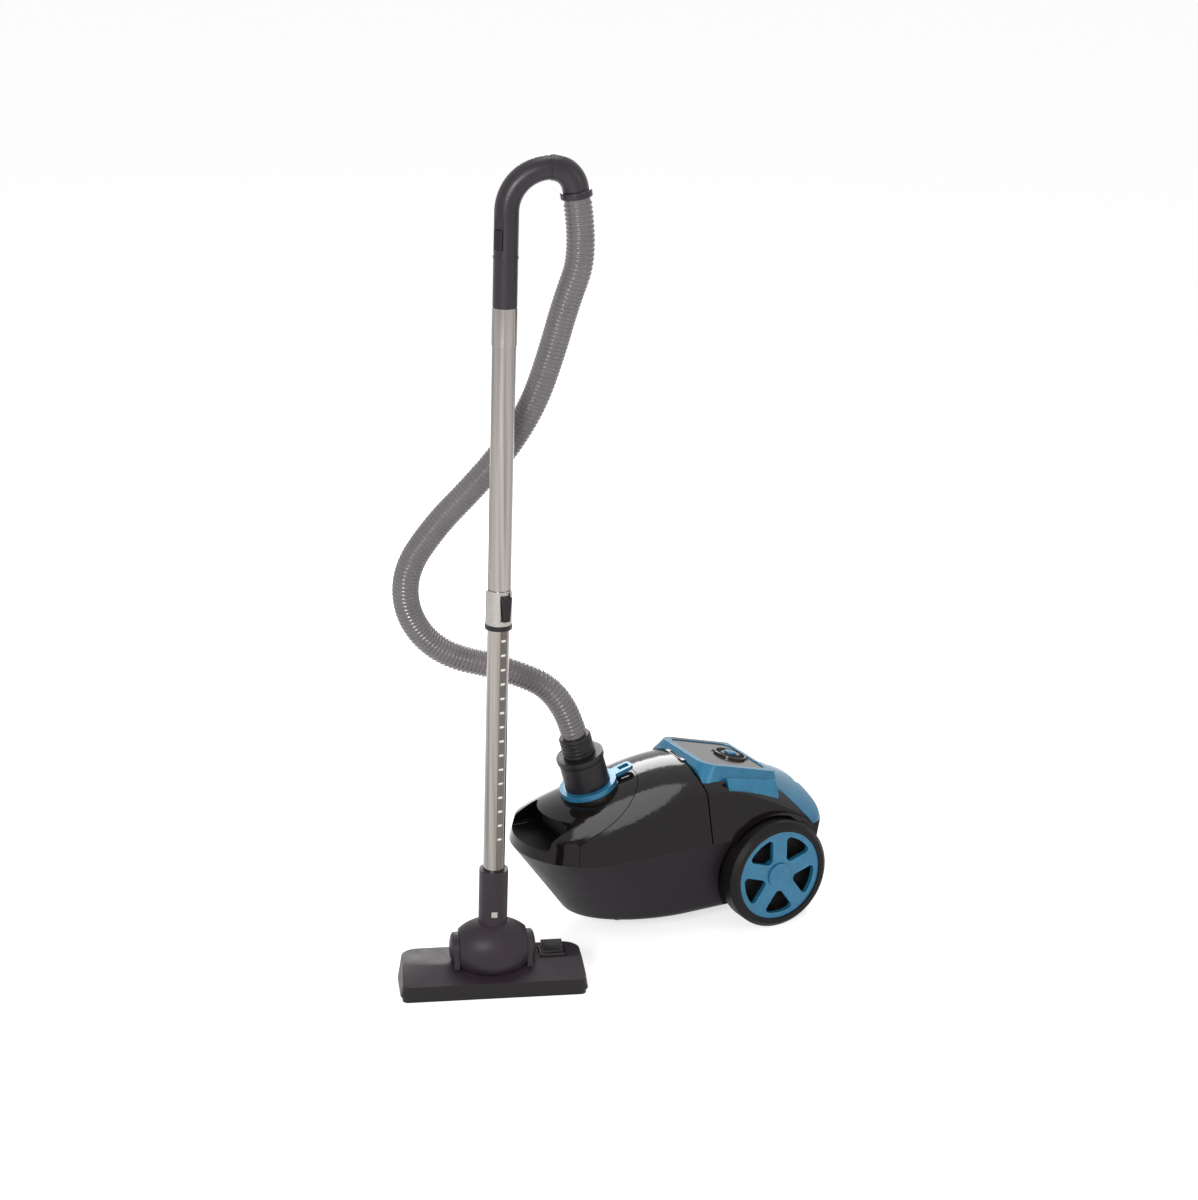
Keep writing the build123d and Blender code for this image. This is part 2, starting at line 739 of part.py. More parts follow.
# Lid: thin hood round the fascia, with a hinge barrel at its rear edge
with BuildPart() as lid:
    add(UPPER_OUTER)
    add(BEHIND_LID, mode=Mode.SUBTRACT)
    add(UPPER_INNER, mode=Mode.SUBTRACT)
    add(LID_GAP_BLOCK, mode=Mode.SUBTRACT)
    with BuildSketch(side(-HINGE_LID_HALF)):
        with Locations((HINGE_Y, HINGE_Z)):
            Circle(HINGE_BARREL_R)
    extrude(amount=2 * HINGE_LID_HALF)
    for hand in (-1, 1):
        with BuildSketch(side(hand * (HINGE_LID_HALF - AIR))):
            with Locations((HINGE_Y, HINGE_Z)):
                Rectangle(2 * HINGE_BARREL_R + 2 * SEAM, 4 * HINGE_BARREL_R)
        extrude(amount=hand * (HINGE_BRACKET_LENGTH + 3 * AIR), mode=Mode.SUBTRACT)
    with BuildSketch(side(-HINGE_LID_HALF)):
        with Locations((HINGE_Y, HINGE_Z)):
            Circle(HINGE_PIN_R + RUN_FIT)
    extrude(amount=2 * HINGE_LID_HALF, mode=Mode.SUBTRACT)

HINGE_HALF = HINGE_LID_HALF + AIR + HINGE_BRACKET_LENGTH
with BuildPart() as lid_hinge_pin:
    with BuildSketch(side(-HINGE_HALF)):
        with Locations((HINGE_Y, HINGE_Z)):
            Circle(HINGE_PIN_R)
    extrude(amount=2 * HINGE_HALF)

# Lid latch: finger plate in the grip recess with its cross bar behind
with BuildPart() as lid_latch:
    with BuildSketch(cross(GRIP_BACK_Y + WALL + AIR)):
        with Locations((0, LATCH_Z)):
            Rectangle(2 * (LATCH_HALF + LATCH_BAR), LATCH_HEIGHT)
    extrude(amount=-LATCH_THICK)
    with BuildSketch(cross(GRIP_BACK_Y + WALL + AIR)):
        with Locations((0, LATCH_Z)):
            Rectangle(2 * LATCH_HALF, LATCH_HEIGHT)
    extrude(amount=WALL + AIR)

# Motor cover: upper rear body with arches, pedal openings and the panel well
with BuildPart() as fenders:
    for hand in (-1, 1):
        with BuildSketch(side(hand * (WELL_X - WALL))):
            with Locations((0, AXLE_Z)):
                Circle(WELL_R + WALL)
            with Locations((0, SEAM_Z)):
                Rectangle(4 * WELL_R, 4 * WELL_R, align=(Align.CENTER, Align.MAX), mode=Mode.SUBTRACT)
        extrude(amount=hand * (FENDER_X - WELL_X + WALL))

PANEL_RUN = (pod_run(PANEL_FRONT_Y) + pod_run(PANEL_REAR_Y)) / 2
PANEL_LENGTH = pod_run(PANEL_REAR_Y) - pod_run(PANEL_FRONT_Y)
PEDAL_LENGTH = PEDAL_REAR_Y - PEDAL_FRONT_Y
PEDAL_MID_Y = (PEDAL_REAR_Y + PEDAL_FRONT_Y) / 2
PEDAL_MID_X = (PEDAL_INNER_X + PEDAL_OUTER_X) / 2
PEDAL_WIDTH = PEDAL_OUTER_X - PEDAL_INNER_X


def panel_outline(depth, grow):
    """Rounded panel outline on the pod plane at a depth, grown all round."""
    with BuildSketch(pod_plane(depth)) as outline:
        with Locations((0, PANEL_RUN)):
            RectangleRounded(
                2 * (PANEL_HALF + grow), PANEL_LENGTH + 2 * grow, PANEL_CORNER + grow
            )
    return outline.sketch


with BuildPart() as cover_cavity:
    add(UPPER_INNER)
    add(wells(WELL_R + WALL, WELL_X - WALL, 0), mode=Mode.SUBTRACT)
    add(keep_behind(Plane(origin=(0, CANISTER_Y + BULKHEAD_Y + WALL, 0), z_dir=(0, -1, 0))),
        mode=Mode.SUBTRACT)
    for hand in (-1, 1):
        with BuildSketch(level(SHELF_Z)):
            with Locations((hand * WELL_X, STEM_Y)):
                Rectangle(4 * STEM_WIDTH, SWITCH_LENGTH + 2 * WALL)
        extrude(amount=SHELF_THICK, mode=Mode.SUBTRACT)

with BuildPart() as motor_cover:
    add(UPPER_OUTER)
    add(BEHIND_BULKHEAD, mode=Mode.INTERSECT)
    add(TAIL_BLOCK, mode=Mode.SUBTRACT)
    add(fenders.part)
    add(cover_cavity.part, mode=Mode.SUBTRACT)
    add(wells(WELL_R, WELL_X, 0), mode=Mode.SUBTRACT)
    extrude(panel_outline(-POD_DEPTH, SKIRT_WALL + AIR), amount=-3 * POD_DEPTH, mode=Mode.SUBTRACT)
    for hand in (-1, 1):
        with BuildSketch(level(SHELF_Z + SWITCH_HEIGHT)):
            with Locations((hand * PEDAL_MID_X, PEDAL_MID_Y)):
                Rectangle(PEDAL_WIDTH + 2 * PEDAL_GAP, PEDAL_LENGTH + 2 * PEDAL_GAP)
        extrude(amount=FORM_TOP, mode=Mode.SUBTRACT)
        with BuildSketch(side(hand * (HINGE_LID_HALF + AIR))):
            with Locations((HINGE_Y, HINGE_Z)):
                Circle(HINGE_BARREL_R)
                Rectangle(
                    HINGE_INSET + LID_GAP + SEAM,
                    2 * HINGE_BARREL_R,
                    align=(Align.MIN, Align.CENTER),
                )
        extrude(amount=hand * HINGE_BRACKET_LENGTH)
    with BuildSketch(side(-HINGE_HALF)):
        with Locations((HINGE_Y, HINGE_Z)):
            Circle(HINGE_PIN_R + PRESS_GAP)
    extrude(amount=2 * HINGE_HALF, mode=Mode.SUBTRACT)

# Tail cover with the exhaust pocket
GRILLE_NORMAL = (0.0, cos(radians(GRILLE_SLANT)), sin(radians(GRILLE_SLANT)))


def grille_plane(depth):
    """Plane of the exhaust grille, sunk into the tail by a depth."""
    return Plane(
        origin=(
            CANISTER_X,
            CANISTER_Y + GRILLE_Y - depth * GRILLE_NORMAL[1],
            GRILLE_Z - depth * GRILLE_NORMAL[2],
        ),
        x_dir=(1, 0, 0),
        z_dir=GRILLE_NORMAL,
    )


GRILLE_STACK = GRILLE_THICK + FILTER_THICK
with BuildPart() as tail_cavity:
    add(UPPER_INNER)
    with BuildSketch(grille_plane(GRILLE_STACK)):
        Rectangle(2 * (GRILLE_HALF + WALL), GRILLE_HEIGHT + 2 * WALL)
    extrude(amount=3 * GRILLE_STACK, mode=Mode.SUBTRACT)

with BuildPart() as tail_cover:
    add(UPPER_OUTER)
    add(TAIL_GAP_BLOCK, mode=Mode.INTERSECT)
    add(tail_cavity.part, mode=Mode.SUBTRACT)
    with BuildSketch(grille_plane(2 * GRILLE_STACK)):
        Rectangle(2 * GRILLE_HALF, GRILLE_HEIGHT)
    extrude(amount=5 * GRILLE_STACK, mode=Mode.SUBTRACT)

with BuildPart() as exhaust_grille:
    with BuildSketch(grille_plane(GRILLE_THICK)):
        Rectangle(2 * (GRILLE_HALF - AIR), GRILLE_HEIGHT - 2 * AIR)
        with GridLocations(0, (GRILLE_HEIGHT - GRILLE_RIM) / GRILLE_SLATS, 1, GRILLE_SLATS):
            Rectangle(2 * (GRILLE_HALF - GRILLE_RIM), GRILLE_GAP, mode=Mode.SUBTRACT)
    extrude(amount=GRILLE_THICK)

with BuildPart() as exhaust_filter:
    with BuildSketch(grille_plane(GRILLE_STACK)):
        Rectangle(2 * (GRILLE_HALF - AIR), GRILLE_HEIGHT - 2 * AIR)
    extrude(amount=FILTER_THICK)

# Blue frame on top of the cover, with a skirt that carries the panel
with BuildPart() as panel_frame:
    for depth in (0, POD_DEPTH):
        with BuildSketch(pod_plane(depth)):
            spread = depth * tan(radians(POD_DRAFT))
            front = -spread
            rear = pod_run(TAIL_SEAM_Y) + POD_DEPTH
            with Locations((0, (front + rear) / 2)):
                RectangleRounded(2 * (POD_TOP_HALF + spread), rear - front, POD_CORNER)
    loft(ruled=True)
    add(UPPER_OUTER, mode=Mode.SUBTRACT)
    add(BEHIND_BULKHEAD, mode=Mode.INTERSECT)
    add(TAIL_BLOCK, mode=Mode.SUBTRACT)
    extrude(panel_outline(PANEL_SINK, SKIRT_WALL), amount=-SKIRT_DEPTH)
    add(TAIL_BLOCK, mode=Mode.SUBTRACT)
    extrude(panel_outline(PANEL_SINK + PANEL_THICK, 0), amount=POD_DEPTH, mode=Mode.SUBTRACT)
    extrude(panel_outline(2 * POD_DEPTH, -PANEL_LEDGE), amount=3 * POD_DEPTH, mode=Mode.SUBTRACT)

DIAL_RUN = pod_run(DIAL_Y)
PANEL_BACK = PANEL_SINK + PANEL_THICK
with BuildPart() as control_panel:
    extrude(panel_outline(PANEL_BACK, -AIR), amount=PANEL_THICK)
    with BuildSketch(pod_plane(PANEL_BACK)):
        with Locations((0, DIAL_RUN)):
            with PolarLocations(POST_SPREAD, 3):
                Circle(POST_R)
    extrude(amount=-POST_LENGTH)
    with BuildSketch(pod_plane(PANEL_SINK + DISH_DEPTH)):
        with Locations((0, DIAL_RUN)):
            Circle(DISH_R)
    extrude(amount=POD_DEPTH, mode=Mode.SUBTRACT)
    with BuildSketch(pod_plane(2 * PANEL_BACK)):
        with Locations((0, DIAL_RUN)):
            Circle(DIAL_SHAFT_R + RUN_FIT)
    extrude(amount=POD_DEPTH, mode=Mode.SUBTRACT)

DIAL_FOOT = PANEL_SINK + DISH_DEPTH - AIR
with BuildPart() as power_dial:
    with BuildSketch(pod_plane(DIAL_FOOT)):
        with Locations((0, DIAL_RUN)):
            Circle(DIAL_R)
    extrude(amount=DIAL_HEIGHT)
    fillet(power_dial.faces().sort_by(Axis.Z)[-1].edges(), DIAL_HEIGHT / 3)
    with BuildSketch(pod_plane(DIAL_FOOT)):
        with Locations((0, DIAL_RUN)):
            Circle(DIAL_SHAFT_R)
    extrude(amount=-DIAL_SHAFT)

with BuildPart() as dial_cap:
    with BuildSketch(pod_plane(DIAL_FOOT - DIAL_HEIGHT)):
        with Locations((0, DIAL_RUN)):
            Circle(DIAL_CAP_R)
    extrude(amount=DIAL_CAP_HEIGHT)
    fillet(dial_cap.faces().sort_by(Axis.Z)[-1].edges(), DIAL_CAP_HEIGHT / 2)

with BuildPart() as circuit_board:
    with BuildSketch(pod_plane(PANEL_BACK + POST_LENGTH + BOARD_THICK)):
        with Locations((0, DIAL_RUN)):
            Rectangle(BOARD_WIDTH, BOARD_LENGTH)
    extrude(amount=BOARD_THICK)


def pedal_section(y, hand, top):
    """Pedal cross-section with a sloping outer face."""
    with BuildSketch(cross(y)) as section:
        with BuildLine():
            Polyline(
                (hand * PEDAL_INNER_X, top),
                (hand * (PEDAL_INNER_X + PEDAL_FLAT), top),
                (hand * PEDAL_OUTER_X, top - PEDAL_FACE_DROP),
                (hand * PEDAL_OUTER_X, top - PEDAL_FACE_DROP - PEDAL_SKIRT),
                (hand * PEDAL_INNER_X, top - PEDAL_FACE_DROP - PEDAL_SKIRT),
                close=True,
            )
        make_face()
    return section.sketch


STEM_FOOT = SHELF_Z + SHELF_THICK + SWITCH_HEIGHT + PEDAL_TRAVEL + AIR
with BuildPart() as cord_pedal:
    add(pedal_section(PEDAL_FRONT_Y, 1, PEDAL_FRONT_TOP))
    add(pedal_section(PEDAL_REAR_Y, 1, PEDAL_REAR_TOP))
    loft(ruled=True)
    with BuildSketch(level(STEM_FOOT)):
        with Locations((PEDAL_MID_X, STEM_Y)):
            Rectangle(STEM_WIDTH, STEM_WIDTH)
    extrude(amount=PEDAL_FRONT_TOP - PEDAL_FACE_DROP - STEM_FOOT)

with BuildPart() as power_pedal:
    add(pedal_section(PEDAL_FRONT_Y, -1, PEDAL_FRONT_TOP))
    add(pedal_section(PEDAL_REAR_Y, -1, PEDAL_REAR_TOP))
    loft(ruled=True)
    with BuildSketch(level(STEM_FOOT)):
        with Locations((-PEDAL_MID_X, STEM_Y)):
            Rectangle(STEM_WIDTH, STEM_WIDTH)
    extrude(amount=PEDAL_FRONT_TOP - PEDAL_FACE_DROP - STEM_FOOT)

with BuildPart() as power_switch:
    with BuildSketch(level(SHELF_Z + SHELF_THICK)):
        with Locations((-PEDAL_MID_X, STEM_Y)):
            Rectangle(SWITCH_WIDTH, SWITCH_LENGTH)
    extrude(amount=SWITCH_HEIGHT)


# Rear wheels: black wheel with tyre, blue spoked rim and stub axle
def wheel_profile(hand):
    """Half section of a wheel body, local X along the axle."""
    plane = Plane(
        origin=(CANISTER_X, CANISTER_Y, AXLE_Z), x_dir=(1, 0, 0), z_dir=(0, -1, 0)
    )
    inner = hand * WHEEL_INNER_X
    outer = hand * WHEEL_OUTER_X
    web = hand * WEB_X
    back = hand * (WEB_X + WEB_THICK)
    bore = AXLE_R + RUN_FIT
    with BuildSketch(plane) as profile:
        with BuildLine():
            Polyline(
                (inner, bore),
                (inner, HUB_R),
                (web, HUB_R),
                (web, RIM_R),
                (inner, RIM_R),
                (inner, WHEEL_R - WHEEL_SHOULDER),
                (inner + hand * WHEEL_SHOULDER, WHEEL_R),
                (outer - hand * WHEEL_SHOULDER, WHEEL_R),
                (outer, WHEEL_R - WHEEL_SHOULDER),
                (outer, RIM_R + PRESS_GAP),
                (back, RIM_R + PRESS_GAP),
                (back, bore),
                close=True,
            )
        make_face()
    return profile.sketch


def wheel_rim(hand):
    """Spoked rim with a hub that stands on the wheel's web."""
    face = hand * (WHEEL_OUTER_X - RIM_DISH)
    with BuildPart(mode=Mode.PRIVATE) as rim:
        with BuildSketch(side(face - hand * RIM_THICK)):
            with Locations((0, AXLE_Z)):
                Circle(RIM_R)
        extrude(amount=hand * RIM_THICK)
        with BuildSketch(side(face - hand * RIM_THICK)) as windows:
            with Locations((0, AXLE_Z)):
                Circle(RIM_WINDOW_OUTER)
                Circle(RIM_WINDOW_INNER, mode=Mode.SUBTRACT)
                with PolarLocations(RIM_WINDOW_OUTER / 2, SPOKE_COUNT, start_angle=90):
                    Rectangle(RIM_R, SPOKE_WIDTH, mode=Mode.SUBTRACT)
            fillet(windows.vertices(), RIM_WINDOW_ROUND)
        extrude(amount=hand * RIM_THICK, mode=Mode.SUBTRACT)
        with BuildSketch(side(hand * (WEB_X + WEB_THICK))):
            with Locations((0, AXLE_Z)):
                Circle(HUB_CAP_R)
        extrude(amount=hand * (WHEEL_OUTER_X - WEB_X - WEB_THICK))
    return rim.part


with BuildPart() as right_wheel:
    add(wheel_profile(1))
    revolve(axis=axle_line(0, AXLE_Z))

with BuildPart() as left_wheel:
    add(wheel_profile(-1))
    revolve(axis=axle_line(0, AXLE_Z))

with BuildPart() as right_rim:
    add(wheel_rim(1))

with BuildPart() as left_rim:
    add(wheel_rim(-1))

AXLE_LENGTH = WEB_X + WEB_THICK - AIR - AXLE_INNER_X
with BuildPart() as wheel_axles:
    for hand in (-1, 1):
        with BuildSketch(side(hand * AXLE_INNER_X)):
            with Locations((0, AXLE_Z)):
                Circle(AXLE_R)
        extrude(amount=hand * AXLE_LENGTH)

# Front caster: fork on a fixed pin, with a trailing wheel
FORK_TOP = BASE_Z + POCKET_HEIGHT - AIR
FORK_LOW = FORK_TOP - CASTER_PLATE
CASTER_AXLE_Y = CASTER_Y + CASTER_TRAIL
ARM_X = CASTER_WIDTH / 2 + AIR
with BuildPart() as caster_pin:
    with BuildSketch(level(FORK_LOW)):
        with Locations((0, CASTER_Y)):
            Circle(CASTER_PIN_R)
    extrude(amount=BASE_Z + POCKET_HEIGHT + WALL - FORK_LOW)

with BuildPart() as caster_fork:
    with BuildSketch(level(FORK_LOW)):
        with Locations((0, CASTER_Y)):
            Circle(CASTER_PLATE_R)
            Circle(CASTER_PIN_R + RUN_FIT, mode=Mode.SUBTRACT)
    extrude(amount=CASTER_PLATE)
    for hand in (-1, 1):
        with BuildSketch(side(hand * ARM_X)):
            with Locations((CASTER_AXLE_Y, CASTER_R)):
                Circle(2 * CASTER_AXLE_R)
                Rectangle(
                    4 * CASTER_AXLE_R,
                    FORK_LOW - CASTER_R,
                    align=(Align.CENTER, Align.MIN),
                )
        extrude(amount=hand * CASTER_ARM)
    with BuildSketch(side(-ARM_X)):
        with Locations((CASTER_AXLE_Y, CASTER_R)):
            Circle(CASTER_AXLE_R)
    extrude(amount=2 * ARM_X)

with BuildPart() as caster_wheel:
    with BuildSketch(side(-CASTER_WIDTH / 2)):
        with Locations((CASTER_AXLE_Y, CASTER_R)):
            Circle(CASTER_R)
            Circle(CASTER_AXLE_R + RUN_FIT, mode=Mode.SUBTRACT)
    extrude(amount=CASTER_WIDTH)
    rims = caster_wheel.edges().filter_by(GeomType.CIRCLE).group_by(SortBy.RADIUS)[-1]
    fillet(rims, CASTER_R / 8)

with BuildPart() as housing_screws:
    with BuildSketch(level(BASE_Z)):
        with Locations(*SCREW_PLACES):
            Circle(SCREW_HEAD_R)
    extrude(amount=SCREW_HEAD)
    with BuildSketch(level(BASE_Z)):
        with Locations(*SCREW_PLACES):
            Circle(SCREW_R)
    extrude(amount=SCREW_HEAD + SCREW_LENGTH)

# Inlet: duct with bag rails, seal, connector, lock ring and lower cuff
with BuildPart() as inlet_duct:
    with BuildSketch(inlet(-DUCT_DEPTH)):
        Circle(DUCT_R)
    extrude(amount=DUCT_DEPTH + DUCT_TOP)
    with BuildSketch(inlet(DUCT_TOP - DUCT_FLANGE_THICK)):
        Circle(DUCT_RIM_R)
    extrude(amount=DUCT_FLANGE_THICK)
    with BuildSketch(inlet(-DUCT_DEPTH)):
        Rectangle(DUCT_FLANGE, DUCT_FLANGE)
    extrude(amount=DUCT_FLANGE_THICK)
    for hand in (-1, 1):
        with BuildSketch(inlet(-DUCT_DEPTH)):
            with Locations((hand * (DUCT_FLANGE - RAIL) / 2, 0)):
                Rectangle(RAIL, DUCT_FLANGE)
        extrude(amount=-(COLLAR_THICK + 2 * AIR + RAIL))
        with BuildSketch(inlet(-DUCT_DEPTH - COLLAR_THICK - 2 * AIR)):
            with Locations((hand * (DUCT_FLANGE - RAIL - RAIL_LIP) / 2, 0)):
                Rectangle(RAIL + RAIL_LIP, DUCT_FLANGE)
        extrude(amount=-RAIL)
    with BuildSketch(inlet(-2 * DUCT_DEPTH)):
        Circle(DUCT_R - DUCT_WALL)
    extrude(amount=3 * DUCT_DEPTH, mode=Mode.SUBTRACT)

with BuildPart() as inlet_seal:
    with BuildSketch(inlet(DUCT_TOP)):
        Circle(CONNECTOR_R)
        Circle(DUCT_R - DUCT_WALL, mode=Mode.SUBTRACT)
    extrude(amount=SEAL_THICK)

CONNECTOR_FOOT = DUCT_TOP + SEAL_THICK
INLET_FACE = Plane(origin=inlet(0).origin, x_dir=(1, 0, 0), z_dir=-inlet(0).y_dir)
INLET_AXIS = Axis(inlet(0).origin, INLET_DIRECTION)
with BuildPart() as hose_connector:
    with BuildSketch(INLET_FACE):
        with BuildLine():
            Polyline(
                (DUCT_R - DUCT_WALL - CONNECTOR_WALL, CONNECTOR_FOOT),
                (CONNECTOR_R, CONNECTOR_FOOT),
                (CONNECTOR_R, CONNECTOR_HEIGHT - 3 * CONNECTOR_WALL),
                (CONNECTOR_R + CONNECTOR_LIP, CONNECTOR_HEIGHT - 2 * CONNECTOR_WALL),
                (CONNECTOR_R + CONNECTOR_LIP, CONNECTOR_HEIGHT),
                (SPIGOT_R + RUN_FIT, CONNECTOR_HEIGHT),
                (SPIGOT_R + RUN_FIT, CONNECTOR_HEIGHT - SPIGOT_DEPTH),
                (DUCT_R - DUCT_WALL - CONNECTOR_WALL, CONNECTOR_HEIGHT - SPIGOT_DEPTH),
                close=True,
            )
        make_face()
    revolve(axis=INLET_AXIS)

with BuildPart() as hose_lock_ring:
    with BuildSketch(inlet(0)):
        Circle(RING_R)
        Circle(RING_BORE, mode=Mode.SUBTRACT)
    extrude(amount=RING_HEIGHT)
    with BuildSketch(inlet(AIR)) as tab:
        with Locations((0, RING_BORE)):
            Rectangle(TAB_WIDTH, TAB_REACH - RING_BORE, align=(Align.CENTER, Align.MIN))
        Circle(RING_BORE, mode=Mode.SUBTRACT)
        fillet(tab.vertices().group_by(Axis.Y)[-1], TAB_WIDTH / 3)
        with Locations((0, TAB_REACH - TAB_SLOT_WIDTH / 2)):
            Rectangle(
                TAB_SLOT_WIDTH,
                TAB_SLOT_LENGTH,
                align=(Align.CENTER, Align.MAX),
                mode=Mode.SUBTRACT,
            )
    extrude(amount=TAB_THICK)

CUFF_TOP = CONNECTOR_HEIGHT + AIR + CUFF_HEIGHT
with BuildPart() as hose_cuff_lower:
    with BuildSketch(inlet(CONNECTOR_HEIGHT - SPIGOT_DEPTH + AIR)):
        Circle(SPIGOT_R)
    extrude(amount=SPIGOT_DEPTH)
    with BuildSketch(inlet(CONNECTOR_HEIGHT + AIR)):
        Circle(CUFF_R)
    extrude(amount=CUFF_HEIGHT)
    for rib in range(CUFF_RIBS):
        groove = CONNECTOR_HEIGHT + AIR + CUFF_HEIGHT * (rib + 0.6) / CUFF_RIBS
        with BuildSketch(inlet(groove)):
            Circle(CUFF_R + CUFF_GROOVE)
            Circle(CUFF_R - CUFF_GROOVE, mode=Mode.SUBTRACT)
        extrude(amount=2 * CUFF_GROOVE, mode=Mode.SUBTRACT)
    with BuildSketch(inlet(0)):
        Circle(HOSE_BORE_R)
    extrude(amount=2 * CUFF_TOP, mode=Mode.SUBTRACT)

# Dust bag with its collar, and the filter in front of the motor
with BuildPart() as bag_collar:
    with BuildSketch(inlet(-DUCT_DEPTH - AIR)):
        Rectangle(COLLAR_SIZE, COLLAR_SIZE)
        Circle(DUCT_R - DUCT_WALL, mode=Mode.SUBTRACT)
    extrude(amount=-COLLAR_THICK)
    with BuildSketch(inlet(-DUCT_DEPTH - AIR)):
        Circle(COLLAR_NECK_R)
        Circle(DUCT_R - DUCT_WALL, mode=Mode.SUBTRACT)
    extrude(amount=-DUCT_DEPTH)
    with BuildSketch(level(BAG_TOP + AIR)):
        with Locations((0, INLET_Y)):
            Rectangle(4 * COLLAR_SIZE, 4 * COLLAR_SIZE)
    extrude(amount=-BAG_TOP, mode=Mode.SUBTRACT)

with BuildPart() as dust_bag:
    add(tub_form(WALL + BAG_MARGIN, BASE_Z + POCKET_HEIGHT + WALL + AIR, BAG_TOP, BAG_ROUND))
    with BuildSketch(cross(BAG_REAR_Y)):
        Rectangle(4 * HALF_WIDTH, 4 * FORM_TOP)
    extrude(amount=-4 * HALF_WIDTH, mode=Mode.SUBTRACT)
    fillet(dust_bag.faces().sort_by(Axis.Z)[-1].edges(), BAG_ROUND)

FRAME_SIZE = FILTER_SIZE + 2 * FILTER_RIM
with BuildPart() as filter_frame:
    with BuildSketch(cross(BULKHEAD_Y)):
        with Locations((FILTER_X, FILTER_Z)):
            Rectangle(FRAME_SIZE, FRAME_SIZE)
            Rectangle(FILTER_SIZE, FILTER_SIZE, mode=Mode.SUBTRACT)
    extrude(amount=FILTER_PAD)

with BuildPart() as motor_filter:
    with BuildSketch(cross(BULKHEAD_Y)):
        with Locations((FILTER_X, FILTER_Z)):
            Rectangle(FILTER_SIZE - 2 * AIR, FILTER_SIZE - 2 * AIR)
    extrude(amount=FILTER_PAD)

# Suction motor, its mounts and the cord reel
MOUNT_Y = BULKHEAD_Y + WALL
FAN_Y = MOUNT_Y + MOUNT_THICK
CASING_Y = FAN_Y + FAN_LENGTH
CASING_END_Y = CASING_Y + MOTOR_LENGTH


def disc(y, radius):
    """Circle about the motor axis on the cross-section at y."""
    with BuildSketch(cross(y)) as face:
        with Locations((MOTOR_X, MOTOR_Z)):
            Circle(radius)
    return face.sketch


with BuildPart() as motor_mounts:
    extrude(disc(MOUNT_Y, MOUNT_RING_R), amount=-MOUNT_THICK)
    extrude(disc(MOUNT_Y, MOTOR_INLET_R), amount=-MOUNT_THICK, mode=Mode.SUBTRACT)
    with BuildSketch(cross(CASING_Y + MOTOR_LENGTH / 2)):
        with Locations((MOTOR_X, FLOOR_Z)):
            Rectangle(MOTOR_R, MOTOR_Z - FLOOR_Z, align=(Align.CENTER, Align.MIN))
        with Locations((MOTOR_X, MOTOR_Z)):
            Circle(MOTOR_R + PRESS_GAP, mode=Mode.SUBTRACT)
    extrude(amount=-MOTOR_LENGTH / 3)

with BuildPart() as fan_cover:
    extrude(disc(FAN_Y, FAN_R), amount=-FAN_LENGTH)
    extrude(disc(FAN_Y + MOTOR_SKIN, FAN_R - MOTOR_SKIN), amount=-FAN_LENGTH, mode=Mode.SUBTRACT)
    extrude(disc(FAN_Y, FAN_INLET_R), amount=-FAN_LENGTH, mode=Mode.SUBTRACT)

with BuildPart() as motor_casing:
    extrude(disc(CASING_Y, FAN_R), amount=-MOTOR_SKIN)
    extrude(disc(CASING_Y, MOTOR_R), amount=-MOTOR_LENGTH)
    hollow = MOTOR_LENGTH - 2 * MOTOR_SKIN
    extrude(disc(CASING_Y + MOTOR_SKIN, MOTOR_R - MOTOR_SKIN), amount=-hollow, mode=Mode.SUBTRACT)
    extrude(disc(CASING_Y, SHAFT_R + RUN_FIT), amount=-MOTOR_LENGTH, mode=Mode.SUBTRACT)

with BuildPart() as motor_rotor:
    extrude(disc(FAN_Y + 2 * MOTOR_SKIN, SHAFT_R), amount=-(CASING_END_Y - FAN_Y - 2 * MOTOR_SKIN))
    extrude(disc(FAN_Y + 2 * MOTOR_SKIN, IMPELLER_R), amount=-IMPELLER_THICK)
    extrude(disc(CASING_Y + 3 * MOTOR_SKIN, ARMATURE_R), amount=-(MOTOR_LENGTH - 6 * MOTOR_SKIN))

REEL_END_X = REEL_X + REEL_WIDTH
with BuildPart() as cord_reel:
    with BuildSketch(side(REEL_X)):
        with Locations((REEL_Y, REEL_Z)):
            Circle(REEL_CORE_R)
    extrude(amount=REEL_WIDTH)
    for x in (REEL_X, REEL_END_X - REEL_FLANGE):
        with BuildSketch(side(x)):
            with Locations((REEL_Y, REEL_Z)):
                Circle(REEL_R)
        extrude(amount=REEL_FLANGE)
    with BuildSketch(side(REEL_X)):
        with Locations((REEL_Y, REEL_Z)):
            Circle(REEL_AXLE_R + RUN_FIT)
    extrude(amount=REEL_WIDTH, mode=Mode.SUBTRACT)

with BuildPart() as reel_axle:
    with BuildSketch(side(REEL_X)):
        with Locations((REEL_Y, REEL_Z)):
            Circle(REEL_AXLE_R)
    extrude(amount=WELL_X - WALL - REEL_X)
    with BuildSketch(side(WELL_X - WALL - REEL_AXLE_FLANGE)):
        with Locations((REEL_Y, REEL_Z)):
            Circle(REEL_AXLE_FLANGE_R)
    extrude(amount=REEL_AXLE_FLANGE)

# Outlet bush of the mains cord in the rear wall
with BuildPart() as cord_outlet:
    with BuildSketch(OUTLET_FACE):
        Circle(OUTLET_FLANGE_R)
    extrude(amount=OUTLET_FLANGE)
    with BuildSketch(OUTLET_FACE):
        Circle(OUTLET_R)
    extrude(amount=-OUTLET_LENGTH)
    with BuildSketch(OUTLET_FACE.offset(-OUTLET_LENGTH)):
        Circle(OUTLET_BORE)
    extrude(amount=2 * OUTLET_LENGTH, mode=Mode.SUBTRACT)

